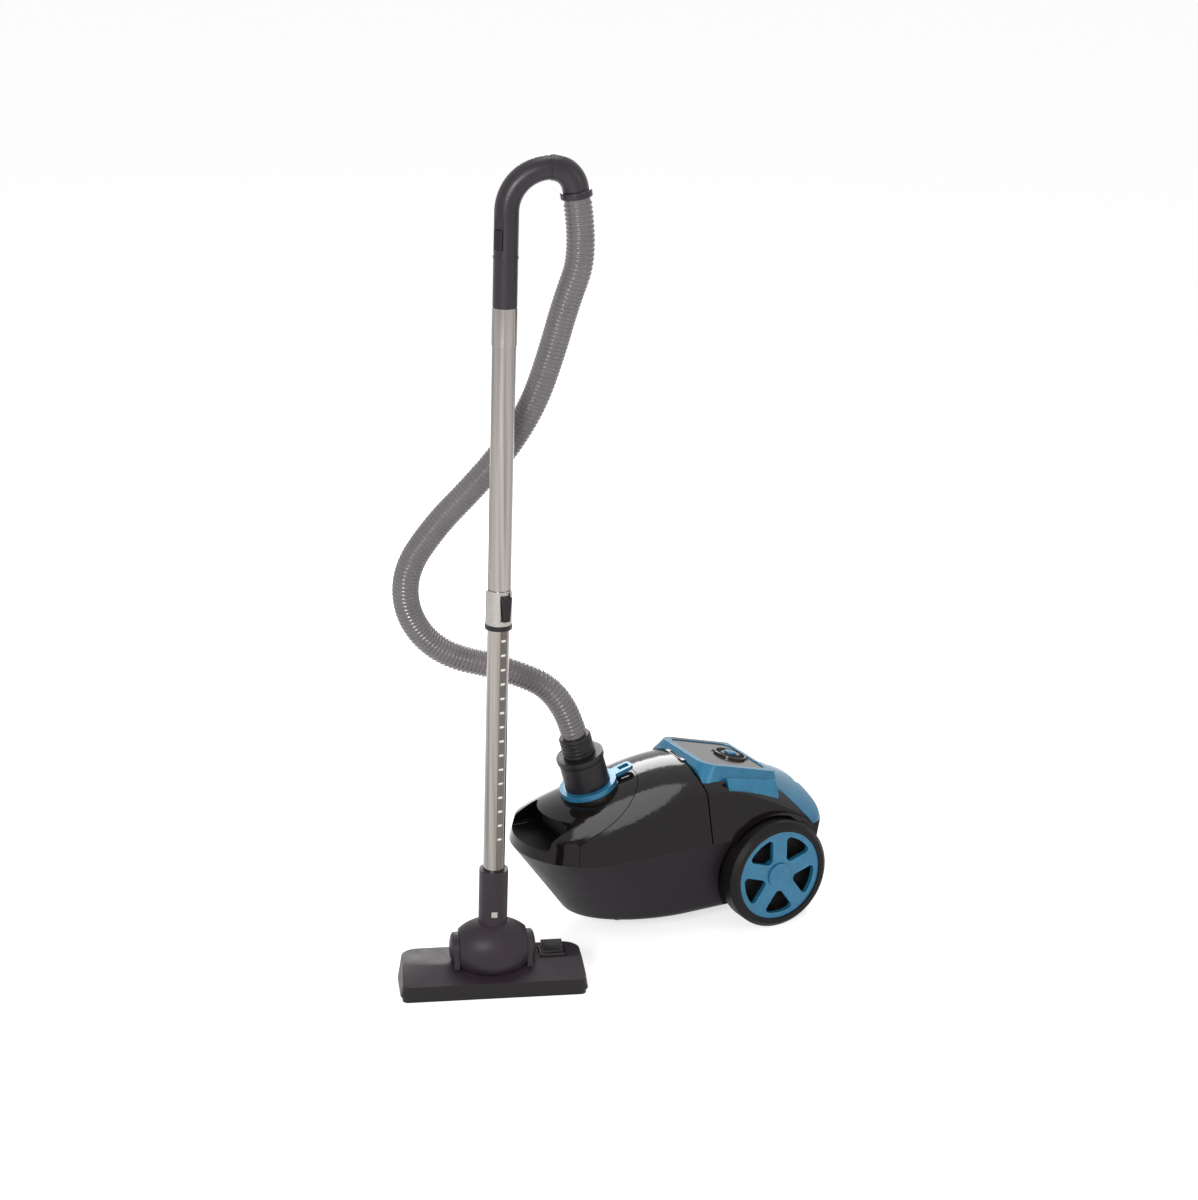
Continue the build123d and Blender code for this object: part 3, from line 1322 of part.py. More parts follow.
# Telescopic tube
with BuildPart() as lower_tube:
    with BuildSketch(WAND.offset(LOWER_TUBE_FOOT)):
        Circle(LOWER_TUBE_R)
        Circle(LOWER_TUBE_R - TUBE_WALL, mode=Mode.SUBTRACT)
    extrude(amount=LOWER_TUBE_TOP - LOWER_TUBE_FOOT)
    for notch in range(NOTCH_COUNT):
        with BuildSketch(radial(NOTCH_TURN, NOTCH_FIRST + notch * NOTCH_PITCH, LOWER_TUBE_R / 2)):
            Rectangle(NOTCH_WIDTH, NOTCH_HEIGHT)
        extrude(amount=LOWER_TUBE_R, mode=Mode.SUBTRACT)

with BuildPart() as upper_tube:
    with BuildSketch(WAND.offset(SLEEVE_FOOT)):
        Circle(UPPER_TUBE_R)
    extrude(amount=UPPER_TUBE_TOP - SLEEVE_FOOT)
    with BuildSketch(WAND.offset(UPPER_TUBE_TOP - SOCKET_LENGTH)):
        Circle(UPPER_TUBE_R + SOCKET_SWELL)
    extrude(amount=SOCKET_LENGTH)
    with BuildSketch(WAND.offset(SLEEVE_FOOT)):
        Circle(UPPER_TUBE_BORE)
    extrude(amount=UPPER_TUBE_TOP - SLEEVE_FOOT, mode=Mode.SUBTRACT)

SLEEVE_BORE = UPPER_TUBE_R + PRESS_GAP
SLEEVE_R = SLEEVE_BORE + SLEEVE_WALL
with BuildPart() as tube_sleeve:
    with BuildSketch(WAND.offset(SLEEVE_FOOT)):
        Circle(SLEEVE_R)
        Circle(SLEEVE_BORE, mode=Mode.SUBTRACT)
    extrude(amount=SLEEVE_TOP - SLEEVE_FOOT)
    with BuildSketch(radial(NOTCH_TURN, SLIDER_FOOT - AIR, UPPER_TUBE_R / 2)):
        Rectangle(
            SLIDER_WIDTH + 2 * AIR,
            SLIDER_LENGTH + SLIDER_TRAVEL + 2 * AIR,
            align=(Align.CENTER, Align.MIN),
        )
    extrude(amount=UPPER_TUBE_R, mode=Mode.SUBTRACT)

with BuildPart() as sleeve_ring:
    with BuildSketch(WAND.offset(SLEEVE_FOOT - SLEEVE_RING)):
        Circle(SLEEVE_R + SLEEVE_RING_SWELL)
        Circle(UPPER_TUBE_BORE, mode=Mode.SUBTRACT)
    extrude(amount=SLEEVE_RING)

with BuildPart() as tube_latch:
    with BuildSketch(radial(NOTCH_TURN, SLIDER_FOOT, UPPER_TUBE_R / 2)):
        with BuildLine():
            Polyline(
                (-(SLIDER_WIDTH - SLIDER_TAPER) / 2, 0),
                ((SLIDER_WIDTH - SLIDER_TAPER) / 2, 0),
                (SLIDER_WIDTH / 2, SLIDER_LENGTH),
                (-SLIDER_WIDTH / 2, SLIDER_LENGTH),
                close=True,
            )
        make_face()
    extrude(amount=SLEEVE_R + SLIDER_PROUD - UPPER_TUBE_R / 2)
    with BuildSketch(WAND.offset(SLEEVE_FOOT)):
        Circle(UPPER_TUBE_R + AIR)
    extrude(amount=SLEEVE_TOP - SLEEVE_FOOT, mode=Mode.SUBTRACT)

# Handle: grip tube that bends over, elbow and top cuff
GRIP_END_TURN = 180 - GRIP_BEND
GRIP_CENTRE = (GRIP_BEND_R, GRIP_TOP)
GRIP_END = (
    GRIP_BEND_R + GRIP_BEND_R * cos(radians(GRIP_END_TURN)),
    GRIP_TOP + GRIP_BEND_R * sin(radians(GRIP_END_TURN)),
)
ELBOW_CENTRE = (
    GRIP_END[0] - ELBOW_BEND_R * cos(radians(GRIP_END_TURN)),
    GRIP_END[1] - ELBOW_BEND_R * sin(radians(GRIP_END_TURN)),
)
ELBOW_TURN = GRIP_END_TURN - ELBOW_BEND
ELBOW_END = (
    ELBOW_CENTRE[0] + ELBOW_BEND_R * cos(radians(ELBOW_TURN)),
    ELBOW_CENTRE[1] + ELBOW_BEND_R * sin(radians(ELBOW_TURN)),
)
DOWN_U = sin(radians(ELBOW_TURN))
DOWN_V = -cos(radians(ELBOW_TURN))


def face_point(u, v):
    """Point of the handle's plane in the part's frame."""
    return WAND.from_local_coords((u, 0, v))


HOSE_DOWN = WAND.x_dir * DOWN_U + WAND.z_dir * DOWN_V


def elbow_plane(run):
    """Plane square to the elbow's end, further down by a run."""
    return Plane(
        origin=face_point(ELBOW_END[0] + run * DOWN_U, ELBOW_END[1] + run * DOWN_V),
        x_dir=WAND.y_dir,
        z_dir=HOSE_DOWN,
    )


with BuildPart() as handle_grip:
    with BuildLine(WAND_FACE):
        Line((0, UPPER_TUBE_TOP), (0, GRIP_TOP))
        CenterArc(GRIP_CENTRE, GRIP_BEND_R, 180, -GRIP_BEND)
    with BuildSketch(WAND.offset(UPPER_TUBE_TOP)):
        Circle(GRIP_R)
        Circle(GRIP_BORE, mode=Mode.SUBTRACT)
    sweep()
    with BuildSketch(WAND.offset(UPPER_TUBE_TOP - GRIP_PLUG)):
        Circle(UPPER_TUBE_BORE - PRESS_GAP)
        Circle(GRIP_BORE, mode=Mode.SUBTRACT)
    extrude(amount=GRIP_PLUG)
    with BuildSketch(WAND.offset(GRIP_RING_Z)):
        Circle(GRIP_R + GRIP_RING_SWELL)
        Circle(GRIP_BORE, mode=Mode.SUBTRACT)
    extrude(amount=GRIP_RING_HEIGHT)
    with BuildSketch(radial(AIR_SLOT_TURN, AIR_SLOT_FOOT, GRIP_R - AIR_SLOT_DEPTH)):
        Rectangle(AIR_SLOT_WIDTH, AIR_SLOT_LENGTH, align=(Align.CENTER, Align.MIN))
    extrude(amount=GRIP_R, mode=Mode.SUBTRACT)
    with BuildSketch(radial(AIR_SLOT_TURN, AIR_SLOT_FOOT + AIR_SLOT_LENGTH / 4, GRIP_R / 2)):
        Rectangle(AIR_HOLE_WIDTH, AIR_HOLE_LENGTH)
    extrude(amount=GRIP_R, mode=Mode.SUBTRACT)

with BuildPart() as air_slider:
    with BuildSketch(radial(AIR_SLOT_TURN, AIR_SLOT_FOOT + AIR, GRIP_R - AIR_SLOT_DEPTH + AIR)):
        Rectangle(AIR_SLOT_WIDTH - 2 * AIR, AIR_SLIDER_LENGTH, align=(Align.CENTER, Align.MIN))
    extrude(amount=AIR_SLOT_DEPTH + AIR_SLIDER_PROUD)
    with BuildSketch(WAND.offset(AIR_SLOT_FOOT)):
        Circle(2 * GRIP_R)
        Circle(GRIP_R + AIR_SLIDER_PROUD, mode=Mode.SUBTRACT)
    extrude(amount=AIR_SLOT_LENGTH, mode=Mode.SUBTRACT)

with BuildPart() as hose_elbow:
    with BuildLine(WAND_FACE):
        CenterArc(ELBOW_CENTRE, ELBOW_BEND_R, GRIP_END_TURN, -ELBOW_BEND)
        Line(ELBOW_END, (ELBOW_END[0] + ELBOW_LEG * DOWN_U, ELBOW_END[1] + ELBOW_LEG * DOWN_V))
    start = Plane(
        origin=face_point(*GRIP_END),
        x_dir=WAND.y_dir,
        z_dir=WAND.x_dir * sin(radians(GRIP_END_TURN)) - WAND.z_dir * cos(radians(GRIP_END_TURN)),
    )
    with BuildSketch(start):
        Circle(ELBOW_R)
        Circle(GRIP_BORE, mode=Mode.SUBTRACT)
    sweep()
    with BuildSketch(elbow_plane(ELBOW_LEG)):
        Circle(TOP_SPIGOT_R + RUN_FIT)
    extrude(amount=-TOP_SPIGOT, mode=Mode.SUBTRACT)

TOP_CUFF_RUN = ELBOW_LEG + AIR
with BuildPart() as hose_cuff_upper:
    with BuildSketch(elbow_plane(TOP_CUFF_RUN)):
        Circle(TOP_CUFF_R)
    extrude(amount=TOP_CUFF_HEIGHT)
    fillet(hose_cuff_upper.edges().filter_by(GeomType.CIRCLE), TOP_CUFF_HEIGHT / 5)
    with BuildSketch(elbow_plane(TOP_CUFF_RUN)):
        Circle(TOP_SPIGOT_R)
    extrude(amount=-(TOP_SPIGOT - 2 * AIR))
    with BuildSketch(elbow_plane(-2 * TOP_SPIGOT)):
        Circle(TOP_BORE)
    extrude(amount=4 * TOP_SPIGOT, mode=Mode.SUBTRACT)

# Ribbed hose on straight runs joined by tangent arcs
hose_start = inlet(CUFF_TOP + AIR)
hose_end = elbow_plane(TOP_CUFF_RUN + TOP_CUFF_HEIGHT + AIR)
route = [hose_start.origin, hose_start.origin + hose_start.z_dir * HOSE_END_RUN]
route += [Vector(*point) for point in HOSE_ROUTE]
route += [hose_end.origin + hose_end.z_dir * HOSE_END_RUN, hose_end.origin]
bend_radii = []
for before, corner, after in zip(route, route[1:], route[2:]):
    run_in = corner - before
    run_out = after - corner
    half_turn = radians(run_in.get_angle(run_out) / 2)
    bend_radii.append(BEND_SHARE * min(run_in.length, run_out.length) / tan(half_turn))
print("hose bend radii", [round(radius) for radius in bend_radii])

with BuildLine() as hose_line:
    FilletPolyline(*route, radius=bend_radii)
hose_path = hose_line.wires()[0]
HOSE_LENGTH = hose_path.length
HOSE_STEADY = -NOZZLE_FRAME.y_dir


def hose_plane(run):
    """Plane square to the hose at a run along it, on a steady X axis."""
    share = run / HOSE_LENGTH
    return Plane(origin=hose_path @ share, x_dir=HOSE_STEADY, z_dir=hose_path % share)


RIB_PITCH = (HOSE_LENGTH - 2 * HOSE_STRAIGHT) / HOSE_RIBS
with BuildPart() as suction_hose:
    rib_runs = [(0, HOSE_VALLEY_R)]
    for rib in range(HOSE_RIBS):
        foot = HOSE_STRAIGHT + rib * RIB_PITCH
        crest = foot + HOSE_RIB_FLANK * RIB_PITCH
        fall = crest + HOSE_RIB_CREST * RIB_PITCH
        rib_runs += [(foot, HOSE_VALLEY_R), (crest, HOSE_R)]
        rib_runs += [(fall, HOSE_R), (fall + HOSE_RIB_FLANK * RIB_PITCH, HOSE_VALLEY_R)]
    rib_runs.append((HOSE_LENGTH, HOSE_VALLEY_R))
    for run, radius in rib_runs:
        with BuildSketch(hose_plane(run)):
            Circle(radius)
    loft(ruled=True)
    with BuildSketch(hose_plane(0)):
        Circle(HOSE_BORE_R)
    sweep(path=hose_path, mode=Mode.SUBTRACT)
print("hose length", round(HOSE_LENGTH), "volume", round(suction_hose.part.volume))

# Floor nozzle: housing with pocket, cheeks and rocker well
NOZZLE_HALF = NOZZLE_LENGTH / 2


def ball_form(grow):
    """Barrel-shaped solid about the ball axis, grown all round by a gap."""
    half = BALL_HALF + grow
    with BuildPart(mode=Mode.PRIVATE) as form:
        with BuildSketch(NOZZLE_FACE):
            with Locations((0, BALL_Z)):
                Ellipse(BALL_SWELL + grow, BALL_R + grow)
                Rectangle(2 * half, 2 * BALL_R + 2 * grow, mode=Mode.INTERSECT)
                Rectangle(
                    4 * half, 4 * BALL_R, align=(Align.CENTER, Align.MAX), mode=Mode.SUBTRACT
                )
        revolve(axis=BALL_AXIS)
    return form.part


def nozzle_plan(z, inset):
    """Plan outline of the nozzle at height z, drawn in by an inset."""
    with BuildSketch(NOZZLE_FRAME.offset(z)) as plan:
        shrink = inset + (z - NOZZLE_LOW_Z) * tan(radians(NOZZLE_DRAFT))
        front = NOZZLE_FRONT - inset
        rear = NOZZLE_REAR - inset
        with Locations((0, (rear - front) / 2)):
            Rectangle(2 * (NOZZLE_HALF - shrink), front + rear)
        fillet(plan.vertices().group_by(Axis.Y)[-1],
               NOZZLE_REAR_ROUND - inset)
        fillet(plan.vertices().group_by(Axis.Y)[0],
               NOZZLE_FRONT_ROUND - inset)
    return plan.sketch


def nozzle_profile(inset):
    """Side outline with an upright front face and a sloping brow."""
    with BuildSketch(NOZZLE_SIDE.offset(-NOZZLE_LENGTH)) as profile:
        with BuildLine():
            Polyline(
                (-(NOZZLE_FRONT - inset), NOZZLE_LOW_Z),
                (-(NOZZLE_FRONT - inset), NOZZLE_BROW_Z - inset),
                (-NOZZLE_TOP_FRONT, NOZZLE_TOP_Z - inset),
                (NOZZLE_REAR - inset, NOZZLE_TOP_Z - inset),
                (NOZZLE_REAR - inset, NOZZLE_LOW_Z),
                close=True,
            )
        make_face()
    return profile.sketch


def nozzle_form(inset):
    """Outer or inner solid of the nozzle housing."""
    with BuildPart(mode=Mode.PRIVATE) as form:
        add(nozzle_plan(NOZZLE_LOW_Z, inset))
        add(nozzle_plan(NOZZLE_TOP_Z, inset))
        loft(ruled=True)
        extrude(nozzle_profile(inset), amount=2 * NOZZLE_LENGTH, mode=Mode.INTERSECT)
    return form.part


ROCKER_PIN_Z = NOZZLE_TOP_Z - ROCKER_PIN_DROP
WELL_WIDTH = ROCKER_WIDTH + 2 * ROCKER_GAP
WELL_LENGTH = ROCKER_LENGTH + 2 * ROCKER_GAP
PIN_HALF = WELL_WIDTH / 2 + ROCKER_PIN_SEAT
PIN_PLANE = Plane(
    origin=NOZZLE_FRAME.from_local_coords((ROCKER_X - PIN_HALF, ROCKER_Y, ROCKER_PIN_Z)),
    x_dir=NOZZLE_FRAME.y_dir,
    z_dir=LATERAL,
)
with BuildPart() as nozzle_cavity:
    add(nozzle_form(NOZZLE_WALL))
    add(ball_form(BALL_GAP + NOZZLE_WALL), mode=Mode.SUBTRACT)
    with BuildSketch(NOZZLE_FRAME.offset(NOZZLE_TOP_Z - ROCKER_WELL - NOZZLE_WALL)):
        with Locations((ROCKER_X, ROCKER_Y)):
            Rectangle(2 * PIN_HALF + 2 * NOZZLE_WALL, WELL_LENGTH + 2 * NOZZLE_WALL)
    extrude(amount=NOZZLE_TOP_Z, mode=Mode.SUBTRACT)

with BuildPart() as nozzle_housing:
    add(nozzle_form(0))
    for hand in (-1, 1):
        cheek_x = hand * (BALL_HALF + BALL_GAP)
        with BuildSketch(NOZZLE_SIDE.offset(cheek_x)):
            with Locations((0, BALL_Z)):
                Circle(CHEEK_R)
            with Locations((0, NOZZLE_TOP_Z - NOZZLE_WALL)):
                Rectangle(2 * CHEEK_R, BALL_Z - NOZZLE_TOP_Z + NOZZLE_WALL,
                          align=(Align.CENTER, Align.MIN))
        extrude(amount=hand * CHEEK_THICK)
    add(nozzle_cavity.part, mode=Mode.SUBTRACT)
    add(ball_form(BALL_GAP), mode=Mode.SUBTRACT)
    with BuildSketch(NOZZLE_FRAME):
        Circle(AIRWAY_R)
    extrude(amount=BALL_Z, mode=Mode.SUBTRACT)
    with BuildSketch(NOZZLE_SIDE.offset(-2 * BALL_HALF)):
        with Locations((0, BALL_Z)):
            Circle(TRUNNION_R + PRESS_GAP)
    extrude(amount=4 * BALL_HALF, mode=Mode.SUBTRACT)
    with BuildSketch(NOZZLE_FRAME.offset(NOZZLE_TOP_Z - ROCKER_WELL)):
        with Locations((ROCKER_X, ROCKER_Y)):
            Rectangle(WELL_WIDTH, WELL_LENGTH)
    extrude(amount=NOZZLE_TOP_Z, mode=Mode.SUBTRACT)
    with BuildSketch(PIN_PLANE):
        Circle(ROCKER_PIN_R + PRESS_GAP)
    extrude(amount=2 * PIN_HALF, mode=Mode.SUBTRACT)

with BuildPart() as nozzle_pedal:
    with BuildSketch(NOZZLE_FRAME.offset(NOZZLE_TOP_Z - ROCKER_SINK)):
        with Locations((ROCKER_X, ROCKER_Y)):
            Rectangle(ROCKER_WIDTH, ROCKER_LENGTH)
    extrude(amount=ROCKER_HEIGHT)
    fillet(nozzle_pedal.faces().sort_by(Axis.Z)[-1].edges(), NOZZLE_EDGE)
    with BuildSketch(PIN_PLANE):
        Circle(ROCKER_PIN_R + RUN_FIT)
    extrude(amount=2 * PIN_HALF, mode=Mode.SUBTRACT)

with BuildPart() as pedal_pin:
    with BuildSketch(PIN_PLANE):
        Circle(ROCKER_PIN_R)
    extrude(amount=2 * PIN_HALF)

with BuildPart() as nozzle_sole:
    extrude(nozzle_plan(NOZZLE_LOW_Z, SOLE_MARGIN), amount=-NOZZLE_LOW_Z)
    with BuildSketch(NOZZLE_FRAME):
        with Locations((0, SUCTION_Y)):
            Rectangle(2 * SUCTION_HALF, SUCTION_DEPTH)
        with Locations((0, BRUSH_Y)):
            Rectangle(2 * (BRUSH_HALF + AIR), BRUSH_THICK + 2 * AIR)
    extrude(amount=NOZZLE_LOW_Z, mode=Mode.SUBTRACT)

with BuildPart() as brush_strip:
    with BuildSketch(NOZZLE_FRAME.offset(BRUSH_FLOOR_GAP)):
        with Locations((0, BRUSH_Y)):
            Rectangle(2 * BRUSH_HALF, BRUSH_THICK)
    extrude(amount=BRUSH_HEIGHT)

with BuildPart() as swivel_pins:
    for hand in (-1, 1):
        pin_x = hand * (BALL_HALF - TRUNNION_DEPTH)
        with BuildSketch(NOZZLE_SIDE.offset(pin_x)):
            with Locations((0, BALL_Z)):
                Circle(TRUNNION_R)
        extrude(amount=hand * (TRUNNION_DEPTH + BALL_GAP + CHEEK_THICK))

# Swivel neck with the socket of the lower tube and its release button
with BuildPart() as nozzle_neck:
    add(ball_form(0))
    with BuildSketch(WAND.offset(BALL_Z)):
        Circle(NECK_R)
    extrude(amount=NECK_TOP - BALL_Z)
    with BuildSketch(WAND):
        Circle(AIRWAY_R)
    extrude(amount=NECK_TOP, mode=Mode.SUBTRACT)
    with BuildSketch(WAND.offset(LOWER_TUBE_FOOT)):
        Circle(LOWER_TUBE_R + PRESS_GAP)
    extrude(amount=NECK_TOP, mode=Mode.SUBTRACT)
    with BuildSketch(NOZZLE_SIDE.offset(-2 * BALL_HALF)):
        with Locations((0, BALL_Z)):
            Circle(TRUNNION_R + RUN_FIT)
    extrude(amount=BALL_HALF + TRUNNION_DEPTH + AIR, mode=Mode.SUBTRACT)
    with BuildSketch(NOZZLE_SIDE.offset(2 * BALL_HALF)):
        with Locations((0, BALL_Z)):
            Circle(TRUNNION_R + RUN_FIT)
    extrude(amount=-(BALL_HALF + TRUNNION_DEPTH + AIR), mode=Mode.SUBTRACT)
    with BuildSketch(radial(-90, BUTTON_Z, NECK_R - BUTTON_DEPTH - BUTTON_TRAVEL - AIR)):
        Rectangle(BUTTON_SIZE + 2 * AIR, BUTTON_SIZE + 2 * AIR)
    extrude(amount=NECK_R, mode=Mode.SUBTRACT)

with BuildPart() as neck_button:
    with BuildSketch(radial(-90, BUTTON_Z, NECK_R - BUTTON_DEPTH)):
        Rectangle(BUTTON_SIZE, BUTTON_SIZE)
    extrude(amount=BUTTON_DEPTH + BUTTON_PROUD)

PIECES = {
    "lower_housing": lower_housing,
    "front_fascia": front_fascia,
    "lid": lid,
    "lid_hinge_pin": lid_hinge_pin,
    "lid_latch": lid_latch,
    "motor_cover": motor_cover,
    "tail_cover": tail_cover,
    "exhaust_grille": exhaust_grille,
    "exhaust_filter": exhaust_filter,
    "panel_frame": panel_frame,
    "control_panel": control_panel,
    "power_dial": power_dial,
    "dial_cap": dial_cap,
    "circuit_board": circuit_board,
    "cord_pedal": cord_pedal,
    "power_pedal": power_pedal,
    "power_switch": power_switch,
    "right_wheel": right_wheel,
    "left_wheel": left_wheel,
    "right_rim": right_rim,
    "left_rim": left_rim,
    "wheel_axles": wheel_axles,
    "caster_pin": caster_pin,
    "caster_fork": caster_fork,
    "caster_wheel": caster_wheel,
    "housing_screws": housing_screws,
    "inlet_duct": inlet_duct,
    "inlet_seal": inlet_seal,
    "hose_connector": hose_connector,
    "hose_lock_ring": hose_lock_ring,
    "hose_cuff_lower": hose_cuff_lower,
    "bag_collar": bag_collar,
    "dust_bag": dust_bag,
    "filter_frame": filter_frame,
    "motor_filter": motor_filter,
    "motor_mounts": motor_mounts,
    "fan_cover": fan_cover,
    "motor_casing": motor_casing,
    "motor_rotor": motor_rotor,
    "cord_reel": cord_reel,
    "reel_axle": reel_axle,
    "cord_outlet": cord_outlet,
    "lower_tube": lower_tube,
    "upper_tube": upper_tube,
    "tube_sleeve": tube_sleeve,
    "sleeve_ring": sleeve_ring,
    "tube_latch": tube_latch,
    "handle_grip": handle_grip,
    "air_slider": air_slider,
    "hose_elbow": hose_elbow,
    "hose_cuff_upper": hose_cuff_upper,
    "suction_hose": suction_hose,
    "nozzle_housing": nozzle_housing,
    "nozzle_pedal": nozzle_pedal,
    "pedal_pin": pedal_pin,
    "nozzle_sole": nozzle_sole,
    "brush_strip": brush_strip,
    "swivel_pins": swivel_pins,
    "nozzle_neck": nozzle_neck,
    "neck_button": neck_button,
}
for name, piece in PIECES.items():
    piece.part.label = name
    export_step(piece.part, "parts/" + name + ".step")
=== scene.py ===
"""Studio picture of a canister vacuum cleaner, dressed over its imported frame.

Sizes and places of pieces are in millimetres, those of the studio in metres.
"""

from __future__ import annotations

import json
import logging
import math
from dataclasses import dataclass, field
from enum import Enum
from typing import Callable

import bmesh
import bpy
from bmesh.types import BMesh, BMVert
from bpy.types import ID, Material, Mesh, Node, NodeSocket, NodeTree, Object
from mathutils import Matrix, Vector


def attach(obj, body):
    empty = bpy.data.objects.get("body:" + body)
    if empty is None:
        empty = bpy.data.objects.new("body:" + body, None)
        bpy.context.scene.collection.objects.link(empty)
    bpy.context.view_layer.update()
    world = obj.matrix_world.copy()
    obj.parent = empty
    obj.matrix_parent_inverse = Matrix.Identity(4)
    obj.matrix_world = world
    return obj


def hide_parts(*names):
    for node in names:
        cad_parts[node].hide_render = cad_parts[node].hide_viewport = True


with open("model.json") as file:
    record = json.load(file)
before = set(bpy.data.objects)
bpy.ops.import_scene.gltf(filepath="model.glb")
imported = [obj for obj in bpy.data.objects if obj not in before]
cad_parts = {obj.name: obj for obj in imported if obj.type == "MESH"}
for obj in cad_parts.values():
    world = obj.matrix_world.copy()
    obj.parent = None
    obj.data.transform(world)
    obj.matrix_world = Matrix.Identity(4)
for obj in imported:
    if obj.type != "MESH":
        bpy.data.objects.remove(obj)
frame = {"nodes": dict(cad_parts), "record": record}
LOG = logging.getLogger("vacuum_cleaner")
Triple = tuple[float, float, float]
# Test of a face by its centre and normal
Chooser = Callable[[Vector, Vector], bool]
MM = 0.001

# Curve between sRGB and linear light
SRGB_KNEE = 0.04045
SRGB_SLOPE = 12.92
SRGB_OFFSET = 0.055
SRGB_POWER = 2.4
WHITE = "#ffffff"

# How every finish draws its pattern
STREAK_STRETCH = (1.0, 1.0, 0.02)
NO_STRETCH = (1.0, 1.0, 1.0)
NOISE_DETAIL = 2.0
FIBRE_DETAIL = 4.0
DRIFT_DETAIL = 3.0
DRIFT_SIZE = 14
DRIFT_SPAN = (0.3, 0.7)
LEAST_ROUGHNESS = 0.02
COAT_ROUGHNESS = 0.06
IOR = 1.5
# Colour sockets of a mix node
MIX_FIRST, MIX_SECOND, MIX_RESULT = 6, 7, 2

# How pieces are merged, rounded and swollen
MERGE_DISTANCE = 0.01
CREASE = 30.0
SHARP = 0.8
NORMAL_WEIGHT = 50
SWELL_SHARE = 0.95
SWELL_PRESSURE = 4.0
SWELL_FRAMES = 20

# Where the nozzle stands, how far it is turned, and how high its ball sits
NOZZLE_SPOT = (85.5, -229.0)
NOZZLE_TURN = 69.0
BALL_HEIGHT = 66.0


def to_linear(code: str) -> tuple[float, float, float, float]:
    """Turns an sRGB hex colour into linear light.

    Args:
        code: colour as "#rrggbb".

    Returns:
        Red, green, blue and an alpha of 1.
    """
    channels = []
    for start in (1, 3, 5):
        value = int(code[start:start + 2], 16) / 255
        if value <= SRGB_KNEE:
            channels.append(value / SRGB_SLOPE)
        else:
            channels.append(((value + SRGB_OFFSET) / (1 + SRGB_OFFSET)) ** SRGB_POWER)
    return channels[0], channels[1], channels[2], 1.0


def add_node(tree: NodeTree, kind: str, inputs: dict | None = None, **settings: object) -> Node:
    """Adds a node with its settings, and sets or links its inputs.

    Args:
        tree: node tree that gets the node.
        kind: type of the node, without the prefix that all shader nodes share.
        inputs: input name or index to a value, or to an output socket that is linked there.
        **settings: properties of the node.

    Returns:
        The new node.
    """
    node = tree.nodes.new("ShaderNode" + kind)
    for key, value in settings.items():
        setattr(node, key, value)
    for key, value in (inputs or {}).items():
        if isinstance(value, NodeSocket):
            tree.links.new(value, node.inputs[key])
        else:
            node.inputs[key].default_value = value
    return node


class Pattern(Enum):
    """What the surface of a finish shows from near."""

    GRAIN = "moulded grain"
    PEEL = "polished with a faint orange peel"
    # On the chromed tube steel these streaks are also painted reflections in light and dark bands
    STREAK = "drawn lines along the wand"
    FIBRE = "felted fibres"
    FLAKE = "metal flakes under lacquer"


